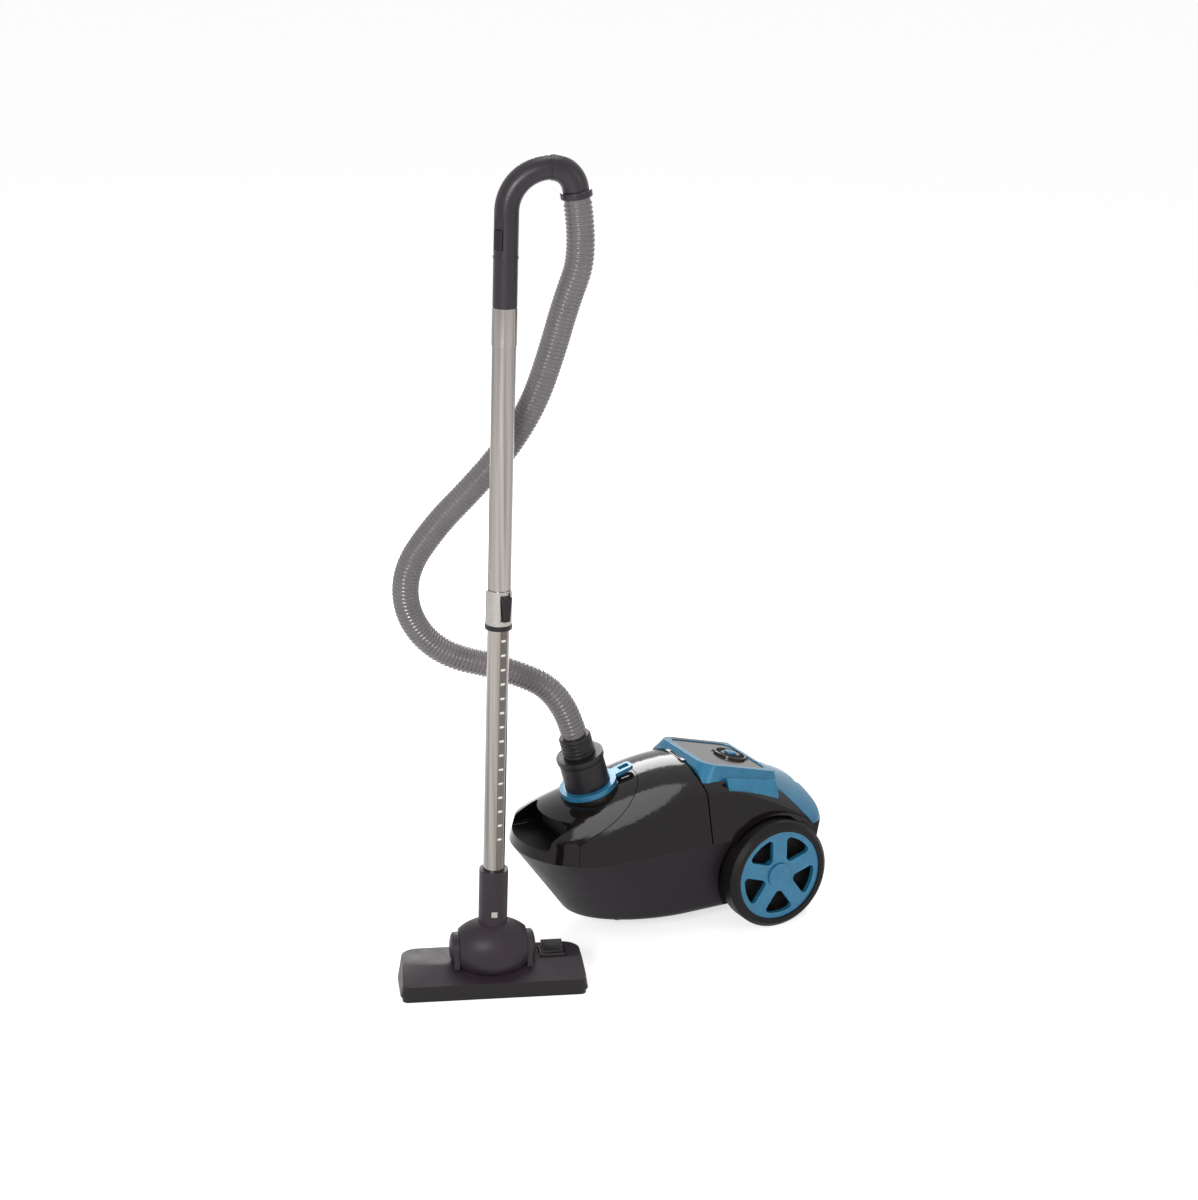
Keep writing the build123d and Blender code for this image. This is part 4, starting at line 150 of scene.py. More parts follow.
@dataclass(frozen=True)
class Finish:
    """One material, with the sizes of what it shows to the eye; some finishes carry painted shade
    or painted reflections in their colour.
    """

    name: str
    slot: str
    colour: str
    shade: str
    pattern: Pattern
    pattern_mm: float
    relief: float
    roughness: float
    roughness_swing: float = 0.05
    metallic: float = 0.0
    coat: float = 0.0
    gloss: float = 0.5
    sheen: float = 0.0
    contrast: tuple[float, float] = (0.1, 0.5)

    def coordinates(self, tree: NodeTree) -> NodeSocket:
        """Gives the pattern's coordinates, stretched where it runs along the wand.

        Args:
            tree: node tree of the material.

        Returns:
            The socket with the coordinates.
        """
        spot = add_node(tree, "TexCoord")
        stretch = STREAK_STRETCH if self.pattern is Pattern.STREAK else NO_STRETCH
        mapping = add_node(tree, "Mapping", {"Vector": spot.outputs["Object"], "Scale": stretch})
        return mapping.outputs["Vector"]

    def height(self, tree: NodeTree, where: NodeSocket, fine: float) -> NodeSocket:
        """Draws the pattern itself.

        Args:
            tree: node tree of the material.
            where: socket with the coordinates.
            fine: how often the pattern repeats in a metre.

        Returns:
            The socket with the pattern's height.
        """
        inputs = {"Vector": where, "Scale": fine}
        if self.pattern is Pattern.FLAKE:
            return add_node(tree, "TexVoronoi", inputs).outputs["Distance"]
        inputs["Detail"] = FIBRE_DETAIL if self.pattern is Pattern.FIBRE else NOISE_DETAIL
        return add_node(tree, "TexNoise", inputs).outputs["Fac"]

    def material(self) -> Material:
        """Builds the material once, and gives it back afterwards.

        Returns:
            The material.
        """
        found = bpy.data.materials.get(self.name)
        if found:
            return found
        made = bpy.data.materials.new(self.name)
        made.use_nodes = True
        tree = made.node_tree
        tree.nodes.clear()
        where = self.coordinates(tree)
        fine = 1 / (self.pattern_mm * MM)
        height = self.height(tree, where, fine)
        drift = add_node(
            tree,
            "TexNoise",
            {"Vector": where, "Scale": fine / DRIFT_SIZE, "Detail": DRIFT_DETAIL},
        )
        both = add_node(tree, "Math", {0: height, 1: drift.outputs["Fac"]}, operation="MULTIPLY")
        low, high = self.contrast
        spread = add_node(
            tree, "MapRange", {"Value": both.outputs[0], "From Min": low, "From Max": high}
        )
        colour = add_node(
            tree,
            "Mix",
            {
                "Factor": spread.outputs[0],
                MIX_FIRST: to_linear(self.colour),
                MIX_SECOND: to_linear(self.shade),
            },
            data_type="RGBA",
        )
        rough = add_node(
            tree,
            "MapRange",
            {
                "Value": drift.outputs["Fac"],
                "From Min": DRIFT_SPAN[0],
                "From Max": DRIFT_SPAN[1],
                "To Min": max(self.roughness - self.roughness_swing, LEAST_ROUGHNESS),
                "To Max": min(self.roughness + self.roughness_swing, 1.0),
            },
        )
        bump = add_node(
            tree,
            "Bump",
            {"Height": height, "Strength": self.relief, "Distance": self.pattern_mm * MM},
        )
        shader = add_node(
            tree,
            "BsdfPrincipled",
            {
                "Base Color": colour.outputs[MIX_RESULT],
                "Roughness": rough.outputs[0],
                "Normal": bump.outputs[0],
                "Metallic": self.metallic,
                "Coat Weight": self.coat,
                "Coat Roughness": COAT_ROUGHNESS,
                "Sheen Weight": self.sheen,
                "IOR": IOR,
                "Specular IOR Level": self.gloss,
            },
        )
        add_node(tree, "OutputMaterial", {"Surface": shader.outputs[0]})
        return made


# Polished ABS: a deep brown black with sharp reflections and a faint orange peel
LID_ABS = Finish(
    "abs_polished_black", "black_gloss", "#120e0d", "#181312", Pattern.PEEL,
    pattern_mm=9.0, relief=0.012, roughness=0.1, roughness_swing=0.03, gloss=0.27,
)
# Moulded ABS with spark-eroded grain: charcoal with a soft sheen
TUB_ABS = Finish(
    "abs_grained_charcoal", "charcoal_plastic", "#1a151a", "#211b21", Pattern.GRAIN,
    pattern_mm=2.4, relief=0.1, roughness=0.42, gloss=0.18,
)
# Dull black unpolished ABS used as painted shade: the inside of the finger recess and the dial's
# crescents are tinted near black where shade falls
PAINTED_SHADE_ABS = Finish(
    "abs_black_painted_shade", "black_gloss", "#050404", "#090707", Pattern.GRAIN,
    pattern_mm=2.0, relief=0.1, roughness=0.7, gloss=0.05,
)
# Pearl lacquer over ABS: blue with a clear coat and fine flakes
PEARL_BLUE = Finish(
    "abs_pearl_blue", "blue_plastic", "#1c6487", "#2a7c9f", Pattern.FLAKE,
    pattern_mm=1.6, relief=0.02, roughness=0.3, metallic=0.2, coat=0.12,
)
# Polished grey ABS of the control panel
PANEL_ABS = Finish(
    "abs_polished_grey", "panel_grey", "#332e2d", "#3b3635", Pattern.PEEL,
    pattern_mm=7.0, relief=0.015, roughness=0.14, roughness_swing=0.03,
)
# Polypropylene of the connector and the small moulded parts: near black, fine grain
GRIP_PP = Finish(
    "polypropylene_black", "black_plastic", "#171416", "#1e1a1d", Pattern.GRAIN,
    pattern_mm=2.0, relief=0.12, roughness=0.36, gloss=0.28,
)
# Satin ABS of the handle: graphite with a broad sheen
HANDLE_ABS = Finish(
    "abs_satin_handle", "black_plastic", "#292329", "#312a31", Pattern.GRAIN,
    pattern_mm=2.2, relief=0.1, roughness=0.34, gloss=0.32,
)
# Satin ABS of the floor nozzle
NOZZLE_ABS = Finish(
    "abs_satin_graphite", "nozzle_plastic", "#2b242a", "#332b32", Pattern.GRAIN,
    pattern_mm=2.2, relief=0.1, roughness=0.46, gloss=0.24,
)
# Lower upright walls of the floor nozzle, darker than the housing
NOZZLE_LOW_WALL_DARK = Finish(
    "nozzle_low_wall_darker", "nozzle_plastic", "#171416", "#1e1a1d", Pattern.GRAIN,
    pattern_mm=2.4, relief=0.12, roughness=0.46, gloss=0.25,
)
# Moulded rubber of the tyres: flat black, slightly dusty
TYRE_RUBBER = Finish(
    "rubber_moulded", "wheel_rubber", "#0e0c0c", "#151212", Pattern.GRAIN,
    pattern_mm=3.0, relief=0.15, roughness=0.5, gloss=0.18,
)
# Chromed steel tube with painted reflections: soft light and dark bands streaked along it
TUBE_STEEL = Finish(
    "steel_chromed_painted_reflections", "tube_steel", "#a19b97", "#5c5753", Pattern.STREAK,
    pattern_mm=9.0, relief=0.02, roughness=0.2, metallic=1.0, contrast=(0.15, 0.34),
)
# Painted dark reflection band along the notches of the tube: the same steel, darker and left dull
DARK_REFLECTION_STEEL = Finish(
    "steel_painted_dark_reflection", "tube_steel", "#6b6663", "#57524f", Pattern.STREAK,
    pattern_mm=4.0, relief=0.03, roughness=0.3, metallic=1.0,
)
# Painted highlight: near white strip that shows through the notches
NOTCH_HIGHLIGHT_STEEL = Finish(
    "steel_painted_highlight_strip", "tube_steel", "#efebe6", "#e2ddd8", Pattern.STREAK,
    pattern_mm=3.0, relief=0.02, roughness=0.3, metallic=0.6,
)
# Silver lacquer on the sleeve of the telescopic lock
SLEEVE_ABS = Finish(
    "abs_silver_lacquer", "silver_plastic", "#a09c99", "#aeaaa6", Pattern.FLAKE,
    pattern_mm=1.4, relief=0.02, roughness=0.28, metallic=0.7,
)
# Extruded PVC of the hose: mid grey, satin
HOSE_PVC = Finish(
    "pvc_extruded_grey", "hose_grey", "#676264", "#757072", Pattern.GRAIN,
    pattern_mm=3.0, relief=0.04, roughness=0.22,
)
# Turned steel of pins and screws
PIN_STEEL = Finish(
    "steel_turned", "pin_steel", "#8e8d8c", "#9b9a99", Pattern.STREAK,
    pattern_mm=2.0, relief=0.05, roughness=0.32, metallic=1.0,
)
# Pressed sheet of the motor
MOTOR_STEEL = Finish(
    "steel_pressed", "motor_steel", "#868788", "#939495", Pattern.GRAIN,
    pattern_mm=6.0, relief=0.05, roughness=0.38, metallic=1.0,
)
# Nitrile rubber of seal and mounts
SEAL_RUBBER = Finish(
    "rubber_nitrile", "seal_rubber", "#171717", "#1f1f1f", Pattern.GRAIN,
    pattern_mm=2.0, relief=0.15, roughness=0.6,
)
# Melt-blown fleece of the filters: white fibres
FLEECE = Finish(
    "fleece_melt_blown", "filter_fleece", "#d6d8d2", "#c4c7c0", Pattern.FIBRE,
    pattern_mm=1.8, relief=0.5, roughness=0.9, sheen=0.2,
)
# Bag paper: buff, fibrous
BAG_PAPER = Finish(
    "paper_bag_buff", "bag_paper", "#c9b68f", "#bda982", Pattern.FIBRE,
    pattern_mm=4.0, relief=0.4, roughness=0.85,
)
# Brown board of the bag's collar
CARD = Finish(
    "card_grey_board", "card", "#a58a62", "#977d57", Pattern.FIBRE,
    pattern_mm=3.0, relief=0.3, roughness=0.85,
)
# Nylon bristle: dark, each tuft a little split
BRISTLE = Finish(
    "nylon_bristle", "bristle", "#232225", "#2f2e31", Pattern.FIBRE,
    pattern_mm=1.2, relief=0.5, roughness=0.6,
)
# Solder-masked glass fibre of the circuit board
BOARD = Finish(
    "glass_fibre_board", "board_green", "#1d5a33", "#246a3d", Pattern.GRAIN,
    pattern_mm=5.0, relief=0.05, roughness=0.3,
)


def activate(obj: Object) -> None:
    """Makes an object the only selected and the active one.

    Args:
        obj: object that the next operators work on.
    """
    bpy.ops.object.select_all(action="DESELECT")
    obj.select_set(True)
    bpy.context.view_layer.objects.active = obj


def link(name: str, data: ID) -> Object:
    """Puts a new object into the scene.

    Args:
        name: name of the object.
        data: its mesh, curve, camera or lamp.

    Returns:
        The object.
    """
    made = bpy.data.objects.new(name, data)
    bpy.context.scene.collection.objects.link(made)
    return made


def owner(node: str) -> str:
    """Looks up the body that carries a node.

    Args:
        node: name of the CAD node.

    Returns:
        The name of its body.
    """
    for body, members in frame["record"]["behaviour"]["bodies"].items():
        if node in members:
            return body
    raise KeyError(node)


def settle(obj: Object, finish: Finish, body: str) -> Object:
    """Gives a piece its finish and lets it ride on its body.

    Args:
        obj: finished piece.
        finish: its material.
        body: name of the body that carries it.

    Returns:
        The same piece.
    """
    obj.data.materials.clear()
    obj.data.materials.append(finish.material())
    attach(obj, body)
    LOG.info("%s rides on %s", obj.name, body)
    return obj


def apply_modifier(obj: Object, kind: str, **settings: object) -> None:
    """Adds a modifier with its settings and applies it at once.

    Args:
        obj: object that is changed.
        kind: type of the modifier.
        **settings: properties of the modifier.
    """
    activate(obj)
    modifier = obj.modifiers.new(kind.lower(), kind)
    for key, value in settings.items():
        setattr(modifier, key, value)
    bpy.ops.object.modifier_apply(modifier=modifier.name)


def round_edges(obj: Object, width: float, angle: float = SHARP, segments: int = 2) -> None:
    """Bevels the sharp edges of a piece.

    Args:
        obj: piece that is changed.
        width: width of the bevel in millimetres.
        angle: least angle of an edge that is rounded, in radians.
        segments: number of faces across the bevel.
    """
    apply_modifier(
        obj,
        "BEVEL",
        width=width * MM,
        segments=segments,
        limit_method="ANGLE",
        angle_limit=angle,
    )


def smooth(obj: Object, angle: float) -> None:
    """Shades a piece smooth, apart from edges sharper than an angle in degrees."""
    activate(obj)
    bpy.ops.object.shade_smooth_by_angle(angle=math.radians(angle))


def merged_copy(node: str, name: str) -> Object:
    """Copies a node's mesh into a new object and merges its loose triangles.

    Args:
        node: name of the CAD node.
        name: name of the copy.

    Returns:
        The copy.
    """
    copy = link(name, frame["nodes"][node].data.copy())
    activate(copy)
    bpy.ops.object.mode_set(mode="EDIT")
    bpy.ops.mesh.select_all(action="SELECT")
    bpy.ops.mesh.remove_doubles(threshold=MERGE_DISTANCE * MM)
    bpy.ops.object.mode_set(mode="OBJECT")
    return copy


def refine(node: str, finish: Finish, edge: float) -> Object:
    """Makes a merged copy of a node with rounded edges, which stands for it.

    Args:
        node: name of the CAD node.
        finish: material of the copy.
        edge: width of the rounded edges in millimetres, 0 for none.

    Returns:
        The copy.
    """
    copy = merged_copy(node, node + "_finished")
    if edge > 0:
        round_edges(copy, edge, math.radians(CREASE))
    smooth(copy, CREASE)
    apply_modifier(
        copy, "WEIGHTED_NORMAL", mode="FACE_AREA", weight=NORMAL_WEIGHT, keep_sharp=True
    )
    settle(copy, finish, owner(node))
    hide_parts(node)
    return copy


def select_faces(obj: Object, chosen: Chooser) -> None:
    """Opens a piece for editing with some of its faces selected.

    Args:
        obj: piece that is edited.
        chosen: test of a face's centre and normal.
    """
    activate(obj)
    bpy.ops.object.mode_set(mode="EDIT")
    bpy.ops.mesh.select_mode(type="FACE")
    bpy.ops.mesh.select_all(action="DESELECT")
    bpy.ops.object.mode_set(mode="OBJECT")
    for face in obj.data.polygons:
        face.select = chosen(face.center, face.normal)
    bpy.ops.object.mode_set(mode="EDIT")


def tint(obj: Object, finish: Finish, chosen: Chooser) -> None:
    """Gives some faces of a piece a second finish.

    Args:
        obj: finished piece.
        finish: material of the chosen faces.
        chosen: test of a face's centre and normal.
    """
    obj.data.materials.append(finish.material())
    select_faces(obj, chosen)
    obj.active_material_index = len(obj.data.materials) - 1
    bpy.ops.object.material_slot_assign()
    bpy.ops.mesh.select_all(action="DESELECT")
    bpy.ops.object.mode_set(mode="OBJECT")


def swell(piece: Object, limit: float) -> None:
    """Blows a piece up as cloth, and holds each point near its start.

    Args:
        piece: object with an even mesh.
        limit: greatest way of a point in metres.
    """
    starts = [vertex.co.copy() for vertex in piece.data.vertices]
    cloth = piece.modifiers.new("swell", "CLOTH")
    cloth.settings.use_pressure = True
    cloth.settings.uniform_pressure_force = SWELL_PRESSURE
    cloth.settings.effector_weights.gravity = 0.0
    for moment in range(1, SWELL_FRAMES + 1):
        bpy.context.scene.frame_set(moment)
    activate(piece)
    bpy.ops.object.modifier_apply(modifier=cloth.name)
    bpy.context.scene.frame_set(1)
    for vertex, start in zip(piece.data.vertices, starts):
        way = vertex.co - start
        if way.length > limit:
            vertex.co = start + way * (limit / way.length)


def pad(node: str, finish: Finish, voxel: float, slack: float) -> Object:
    """Swells a shrunken copy of a soft node until it fills the node's space.

    Args:
        node: name of the CAD node.
        finish: material of the piece.
        voxel: size of its even mesh in millimetres.
        slack: how far it is shrunk before it swells, in millimetres.

    Returns:
        The padded piece.
    """
    piece = merged_copy(node, node + "_padded")
    apply_modifier(piece, "REMESH", mode="VOXEL", voxel_size=voxel * MM)
    activate(piece)
    bpy.ops.object.mode_set(mode="EDIT")
    bpy.ops.mesh.select_all(action="SELECT")
    bpy.ops.transform.shrink_fatten(value=-slack * MM)
    bpy.ops.object.mode_set(mode="OBJECT")
    swell(piece, SWELL_SHARE * slack * MM)
    apply_modifier(piece, "SUBSURF", levels=1, render_levels=1)
    activate(piece)
    bpy.ops.object.shade_smooth()
    settle(piece, finish, owner(node))
    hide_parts(node)
    return piece


def block(name: str, size: Triple, foot: float = 0.0) -> Object:
    """Makes a plain block over the origin, to be shaped further.

    Args:
        name: name of the piece.
        size: its three sides in millimetres.
        foot: height of its underside in millimetres.

    Returns:
        The block.
    """
    bpy.ops.mesh.primitive_cube_add(size=1.0)
    made = bpy.context.object
    made.name = name
    made.scale = [side * MM for side in size]
    made.location.z = (foot + size[2] / 2) * MM
    bpy.ops.object.transform_apply()
    return made


def place(obj: Object, origin: Vector, across: Vector, along: Vector) -> None:
    """Moves a piece modelled at the origin to its place, and applies the move.

    Args:
        obj: piece whose own X and Y axes become across and along.
        origin: its place in metres.
        across: direction of its X axis.
        along: direction of its Y axis.
    """
    turn = Matrix((across, along, across.cross(along))).transposed().to_4x4()
    obj.matrix_world = Matrix.Translation(origin) @ turn
    activate(obj)
    bpy.ops.object.transform_apply()


def table(**entries: object) -> dict:
    """Declares a dataclass field that starts as a copy of these entries."""
    return field(default_factory=lambda: dict(entries))


@dataclass
class SubAssembly:
    """Nodes that belong together, each with its finish and the width of its rounded edges."""

    finishes: dict[str, Finish] = table()
    edges: dict[str, float] = table()
    edge: float = 0.6
    made: dict[str, Object] = table()

    def dress(self) -> None:
        """Refines every node of the group."""
        for node, finish in self.finishes.items():
            self.made[node] = refine(node, finish, self.edges.get(node, self.edge))

    def build(self) -> None:
        """Builds the whole group."""
        self.dress()


@dataclass
class CanisterShell(SubAssembly):
    """Tub, lid, fascia and rear covers of the canister."""

    finishes: dict[str, Finish] = table(
        lower_housing=TUB_ABS,
        front_fascia=LID_ABS,
        lid=LID_ABS,
        lid_hinge_pin=PIN_STEEL,
        lid_latch=GRIP_PP,
        motor_cover=LID_ABS,
        tail_cover=PEARL_BLUE,
        exhaust_grille=GRIP_PP,
        cord_outlet=GRIP_PP,
        housing_screws=PIN_STEEL,
    )
    edges: dict[str, float] = table(front_fascia=1.4, lower_housing=0.8, lid=0.8)
    centre_x: float = -42.0
    centre_y: float = 265.0
    recess_half: float = 62.5
    recess_low: float = 165.5
    recess_high: float = 203.5
    recess_back: float = -328.0
    recess_reach: float = -300.0
    squareness: float = 0.95

    def in_recess_shade(self, centre: Vector, normal: Vector) -> bool:
        """Tells whether a face belongs to the inside of the finger recess, which gets painted
        shade.

        Args:
            centre: middle of the face.
            normal: its normal.

        Returns:
            True for the walls, floor, roof and back of the recess.
        """
        across = abs(centre.x / MM - self.centre_x)
        depth = centre.y / MM - self.centre_y
        if across > self.recess_half or depth > self.recess_reach:
            return False
        if not self.recess_low < centre.z / MM < self.recess_high:
            return False
        if abs(normal.z) > self.squareness or abs(normal.x) > self.squareness:
            return True
        return normal.y < -self.squareness and depth > self.recess_back

    def build(self) -> None:
        """Dresses the shell and paints shade into the finger recess in dull black."""
        self.dress()
        # Painted shade: the inside of the finger recess is tinted near black
        tint(self.made["front_fascia"], PAINTED_SHADE_ABS, self.in_recess_shade)


@dataclass
class ControlPod(SubAssembly):
    """Blue top frame with its panel, dial, pedals and electrics."""

    finishes: dict[str, Finish] = table(
        panel_frame=PEARL_BLUE,
        control_panel=PANEL_ABS,
        power_dial=PANEL_ABS,
        dial_cap=PEARL_BLUE,
        circuit_board=BOARD,
        cord_pedal=PEARL_BLUE,
        power_pedal=PEARL_BLUE,
        power_switch=GRIP_PP,
    )
    edges: dict[str, float] = table(panel_frame=1.6, cord_pedal=1.2, power_pedal=1.2)
    slope: float = 15.2
    dial_rim_depth: float = 2.0
    crescent_sides: int = 64
    crescent_radius: float = 23.0
    crescent_shift: float = 9.0
    crescent_thick: float = 0.8
    crescent_edge: float = 0.2
    crescent_lift: float = 0.3
    crescent_turns: tuple[float, ...] = (200.0, 20.0)
    cutter_height: float = 10.0
    rim_side: float = -102.5
    rim_front: float = 186.0
    rim_rear: float = 282.0
    rim_facing: float = 0.8

    def normal(self) -> Vector:
        """Gives the direction that the sloping panel faces."""
        slope = math.radians(self.slope)
        return Vector((0.0, math.sin(slope), math.cos(slope)))

    def dial_middle(self) -> Vector:
        """Finds the middle of the dial's top.

        Returns:
            The point in metres.
        """
        up = self.normal()
        points = [vertex.co.copy() for vertex in frame["nodes"]["power_dial"].data.vertices]
        level = max(point.dot(up) for point in points)
        rim = [point for point in points if point.dot(up) > level - self.dial_rim_depth * MM]
        middle = sum(rim, Vector()) / len(rim)
        return middle + up * (level - middle.dot(up))

    def disc(self, height: float, shift: float) -> Object:
        """Makes a disc as wide as the crescents.

        Args:
            height: its height in millimetres.
            shift: how far it lies to the side, in millimetres.

        Returns:
            The disc.
        """
        bpy.ops.mesh.primitive_cylinder_add(
            vertices=self.crescent_sides,
            radius=self.crescent_radius * MM,
            depth=height * MM,
            location=(shift * MM, 0.0, 0.0),
        )
        return bpy.context.object

    def crescent(self, turn: float) -> None:
        """Lays a black crescent of painted shade on the dial.

        Args:
            turn: where on the dial it lies, in degrees.
        """
        moon = self.disc(self.crescent_thick, 0.0)
        moon.name = f"dial_painted_shade_crescent_{turn:.0f}"
        cutter = self.disc(self.cutter_height, self.crescent_shift)
        apply_modifier(moon, "BOOLEAN", operation="DIFFERENCE", object=cutter, solver="EXACT")
        bpy.data.objects.remove(cutter)
        round_edges(moon, self.crescent_edge)
        angle = math.radians(turn)
        up, sideways = self.normal(), Vector((1.0, 0.0, 0.0))
        across = -(sideways * math.cos(angle) + up.cross(sideways) * math.sin(angle))
        lift = up * self.crescent_lift * self.crescent_thick * MM
        place(moon, self.dial_middle() + lift, across, up.cross(across))
        settle(moon, PAINTED_SHADE_ABS, "dial")

    def on_shaded_far_rim(self, centre: Vector, normal: Vector) -> bool:
        """Tells whether a face lies on top of the frame's left rim, which is painted black as
        shade.

        Args:
            centre: middle of the face.
            normal: its normal.

        Returns:
            True for the top of the left rim.
        """
        inside = self.rim_front < centre.y / MM < self.rim_rear
        upwards = normal.dot(self.normal()) > self.rim_facing
        return inside and centre.x / MM < self.rim_side and upwards

    def build(self) -> None:
        """Dresses the pod, and paints shade in black on the dial as crescents and on the top of
        the left rim.
        """
        self.dress()
        # Painted shade: black crescents on the dial stand in for the shadow gaps round it
        for turn in self.crescent_turns:
            self.crescent(turn)
        # Painted shade: the top of the left rim, which faces away from the light, is tinted black
        tint(self.made["panel_frame"], LID_ABS, self.on_shaded_far_rim)


@dataclass
class RollingGear(SubAssembly):
    """Rear wheels with their rims, and the front caster."""

    finishes: dict[str, Finish] = table(
        right_wheel=TYRE_RUBBER,
        left_wheel=TYRE_RUBBER,
        right_rim=PEARL_BLUE,
        left_rim=PEARL_BLUE,
        wheel_axles=PIN_STEEL,
        caster_pin=PIN_STEEL,
        caster_fork=TUB_ABS,
        caster_wheel=TYRE_RUBBER,
    )
    edge: float = 0.9


@dataclass
class HoseInlet(SubAssembly):
    """Duct, lock ring and connector where the hose enters the canister."""

    finishes: dict[str, Finish] = table(
        inlet_duct=GRIP_PP,
        inlet_seal=SEAL_RUBBER,
        hose_connector=GRIP_PP,
        hose_lock_ring=PEARL_BLUE,
        hose_cuff_lower=GRIP_PP,
    )
    edge: float = 0.9


@dataclass
class DustChamber(SubAssembly):
    """Bag, collar and filters under the lid."""

    finishes: dict[str, Finish] = table(bag_collar=CARD, filter_frame=GRIP_PP)
    bag_voxel: float = 5.0
    bag_slack: float = 5.0
    bag_fill: float = 0.5
    filter_voxel: float = 2.2
    filter_slack: float = 1.2
    filter_fill: float = 0.7

    def build(self) -> None:
        """Dresses the hard nodes and pads the soft ones."""
        self.dress()
        pad("dust_bag", BAG_PAPER, self.bag_voxel, self.bag_slack)
        for node in ("motor_filter", "exhaust_filter"):
            pad(node, FLEECE, self.filter_voxel, self.filter_slack)


@dataclass
class DriveUnit(SubAssembly):
    """Suction motor and cord reel in the rear chamber."""

    finishes: dict[str, Finish] = table(
        motor_mounts=SEAL_RUBBER,
        fan_cover=MOTOR_STEEL,
        motor_casing=MOTOR_STEEL,
        motor_rotor=MOTOR_STEEL,
        cord_reel=TUB_ABS,
        reel_axle=PIN_STEEL,
    )


@dataclass
class TelescopicWand(SubAssembly):
    """Two steel tubes with the sleeve and slider of their lock."""

    finishes: dict[str, Finish] = table(
        lower_tube=TUBE_STEEL,
        upper_tube=TUBE_STEEL,
        tube_sleeve=SLEEVE_ABS,
        sleeve_ring=GRIP_PP,
        tube_latch=GRIP_PP,
    )
    edge: float = 0.3
    # The tubes slide in each other with little play, so their edges stay as they are
    edges: dict[str, float] = table(lower_tube=0.0, upper_tube=0.0)
    ball: Triple = (*NOZZLE_SPOT, BALL_HEIGHT)
    nozzle_turn: float = NOZZLE_TURN
    lean: float = 1.2
    notch_turn: float = -65.0
    notch_low: float = 236.0
    notch_high: float = 558.0
    dark_band_half: float = 21.0
    strip_width: float = 9.0
    strip_radius: float = 14.1
    strip_thick: float = 0.5
    strip_edge: float = 0.1

    def axes(self) -> tuple[Vector, Vector, Vector]:
        """Gives the wand's own directions.

        Returns:
            Sideways, forwards and up along the wand.
        """
        turn, lean = math.radians(self.nozzle_turn), math.radians(self.lean)
        side = Vector((math.cos(turn), math.sin(turn), 0.0))
        up = side * math.sin(lean) + Vector((0.0, 0.0, math.cos(lean)))
        sideways = side * math.cos(lean) - Vector((0.0, 0.0, math.sin(lean)))
        return sideways, up.cross(sideways), up

    def notch_way(self) -> Vector:
        """Works out which way the notches face.

        Returns:
            The direction out of the tube.
        """
        sideways, forwards, _ = self.axes()
        turn = math.radians(self.notch_turn)
        return sideways * math.cos(turn) + forwards * math.sin(turn)

    def notch_highlight_strip(self) -> None:
        """Puts a near white strip behind the notches of the lower tube, as a painted highlight in
        them.
        """
        out, up = self.notch_way(), self.axes()[2]
        bpy.ops.mesh.primitive_plane_add(size=1.0)
        strip = bpy.context.object
        strip.name = "notch_highlight_strip"
        strip.scale = (self.strip_width * MM, (self.notch_high - self.notch_low) * MM, 1.0)
        bpy.ops.object.transform_apply()
        apply_modifier(strip, "SOLIDIFY", thickness=self.strip_thick * MM, offset=0.0)
        round_edges(strip, self.strip_edge)
        middle = (self.notch_low + self.notch_high) / 2 - self.ball[2]
        origin = (Vector(self.ball) + up * middle + out * self.strip_radius) * MM
        place(strip, origin, up.cross(out), up)
        # Painted highlight: the strip is coloured near white so the notches shine
        settle(strip, NOTCH_HIGHLIGHT_STEEL, owner("lower_tube"))

    def build(self) -> None:
        """Dresses the wand, and gives its lower tube a painted dark reflection band along its
        notches and a painted highlight strip behind them.
        """
        self.dress()
        out, least = self.notch_way(), math.cos(math.radians(self.dark_band_half))
        tube = self.made["lower_tube"]
        # Painted reflection: a dark band is tinted along the notched side of the lower tube
        tint(tube, DARK_REFLECTION_STEEL, lambda centre, normal: normal.dot(out) > least)
        self.notch_highlight_strip()


@dataclass
class Handle(SubAssembly):
    """Bent grip with its air slider, elbow and top cuff."""

    finishes: dict[str, Finish] = table(
        handle_grip=HANDLE_ABS,
        air_slider=GRIP_PP,
        hose_elbow=HANDLE_ABS,
        hose_cuff_upper=HANDLE_ABS,
    )


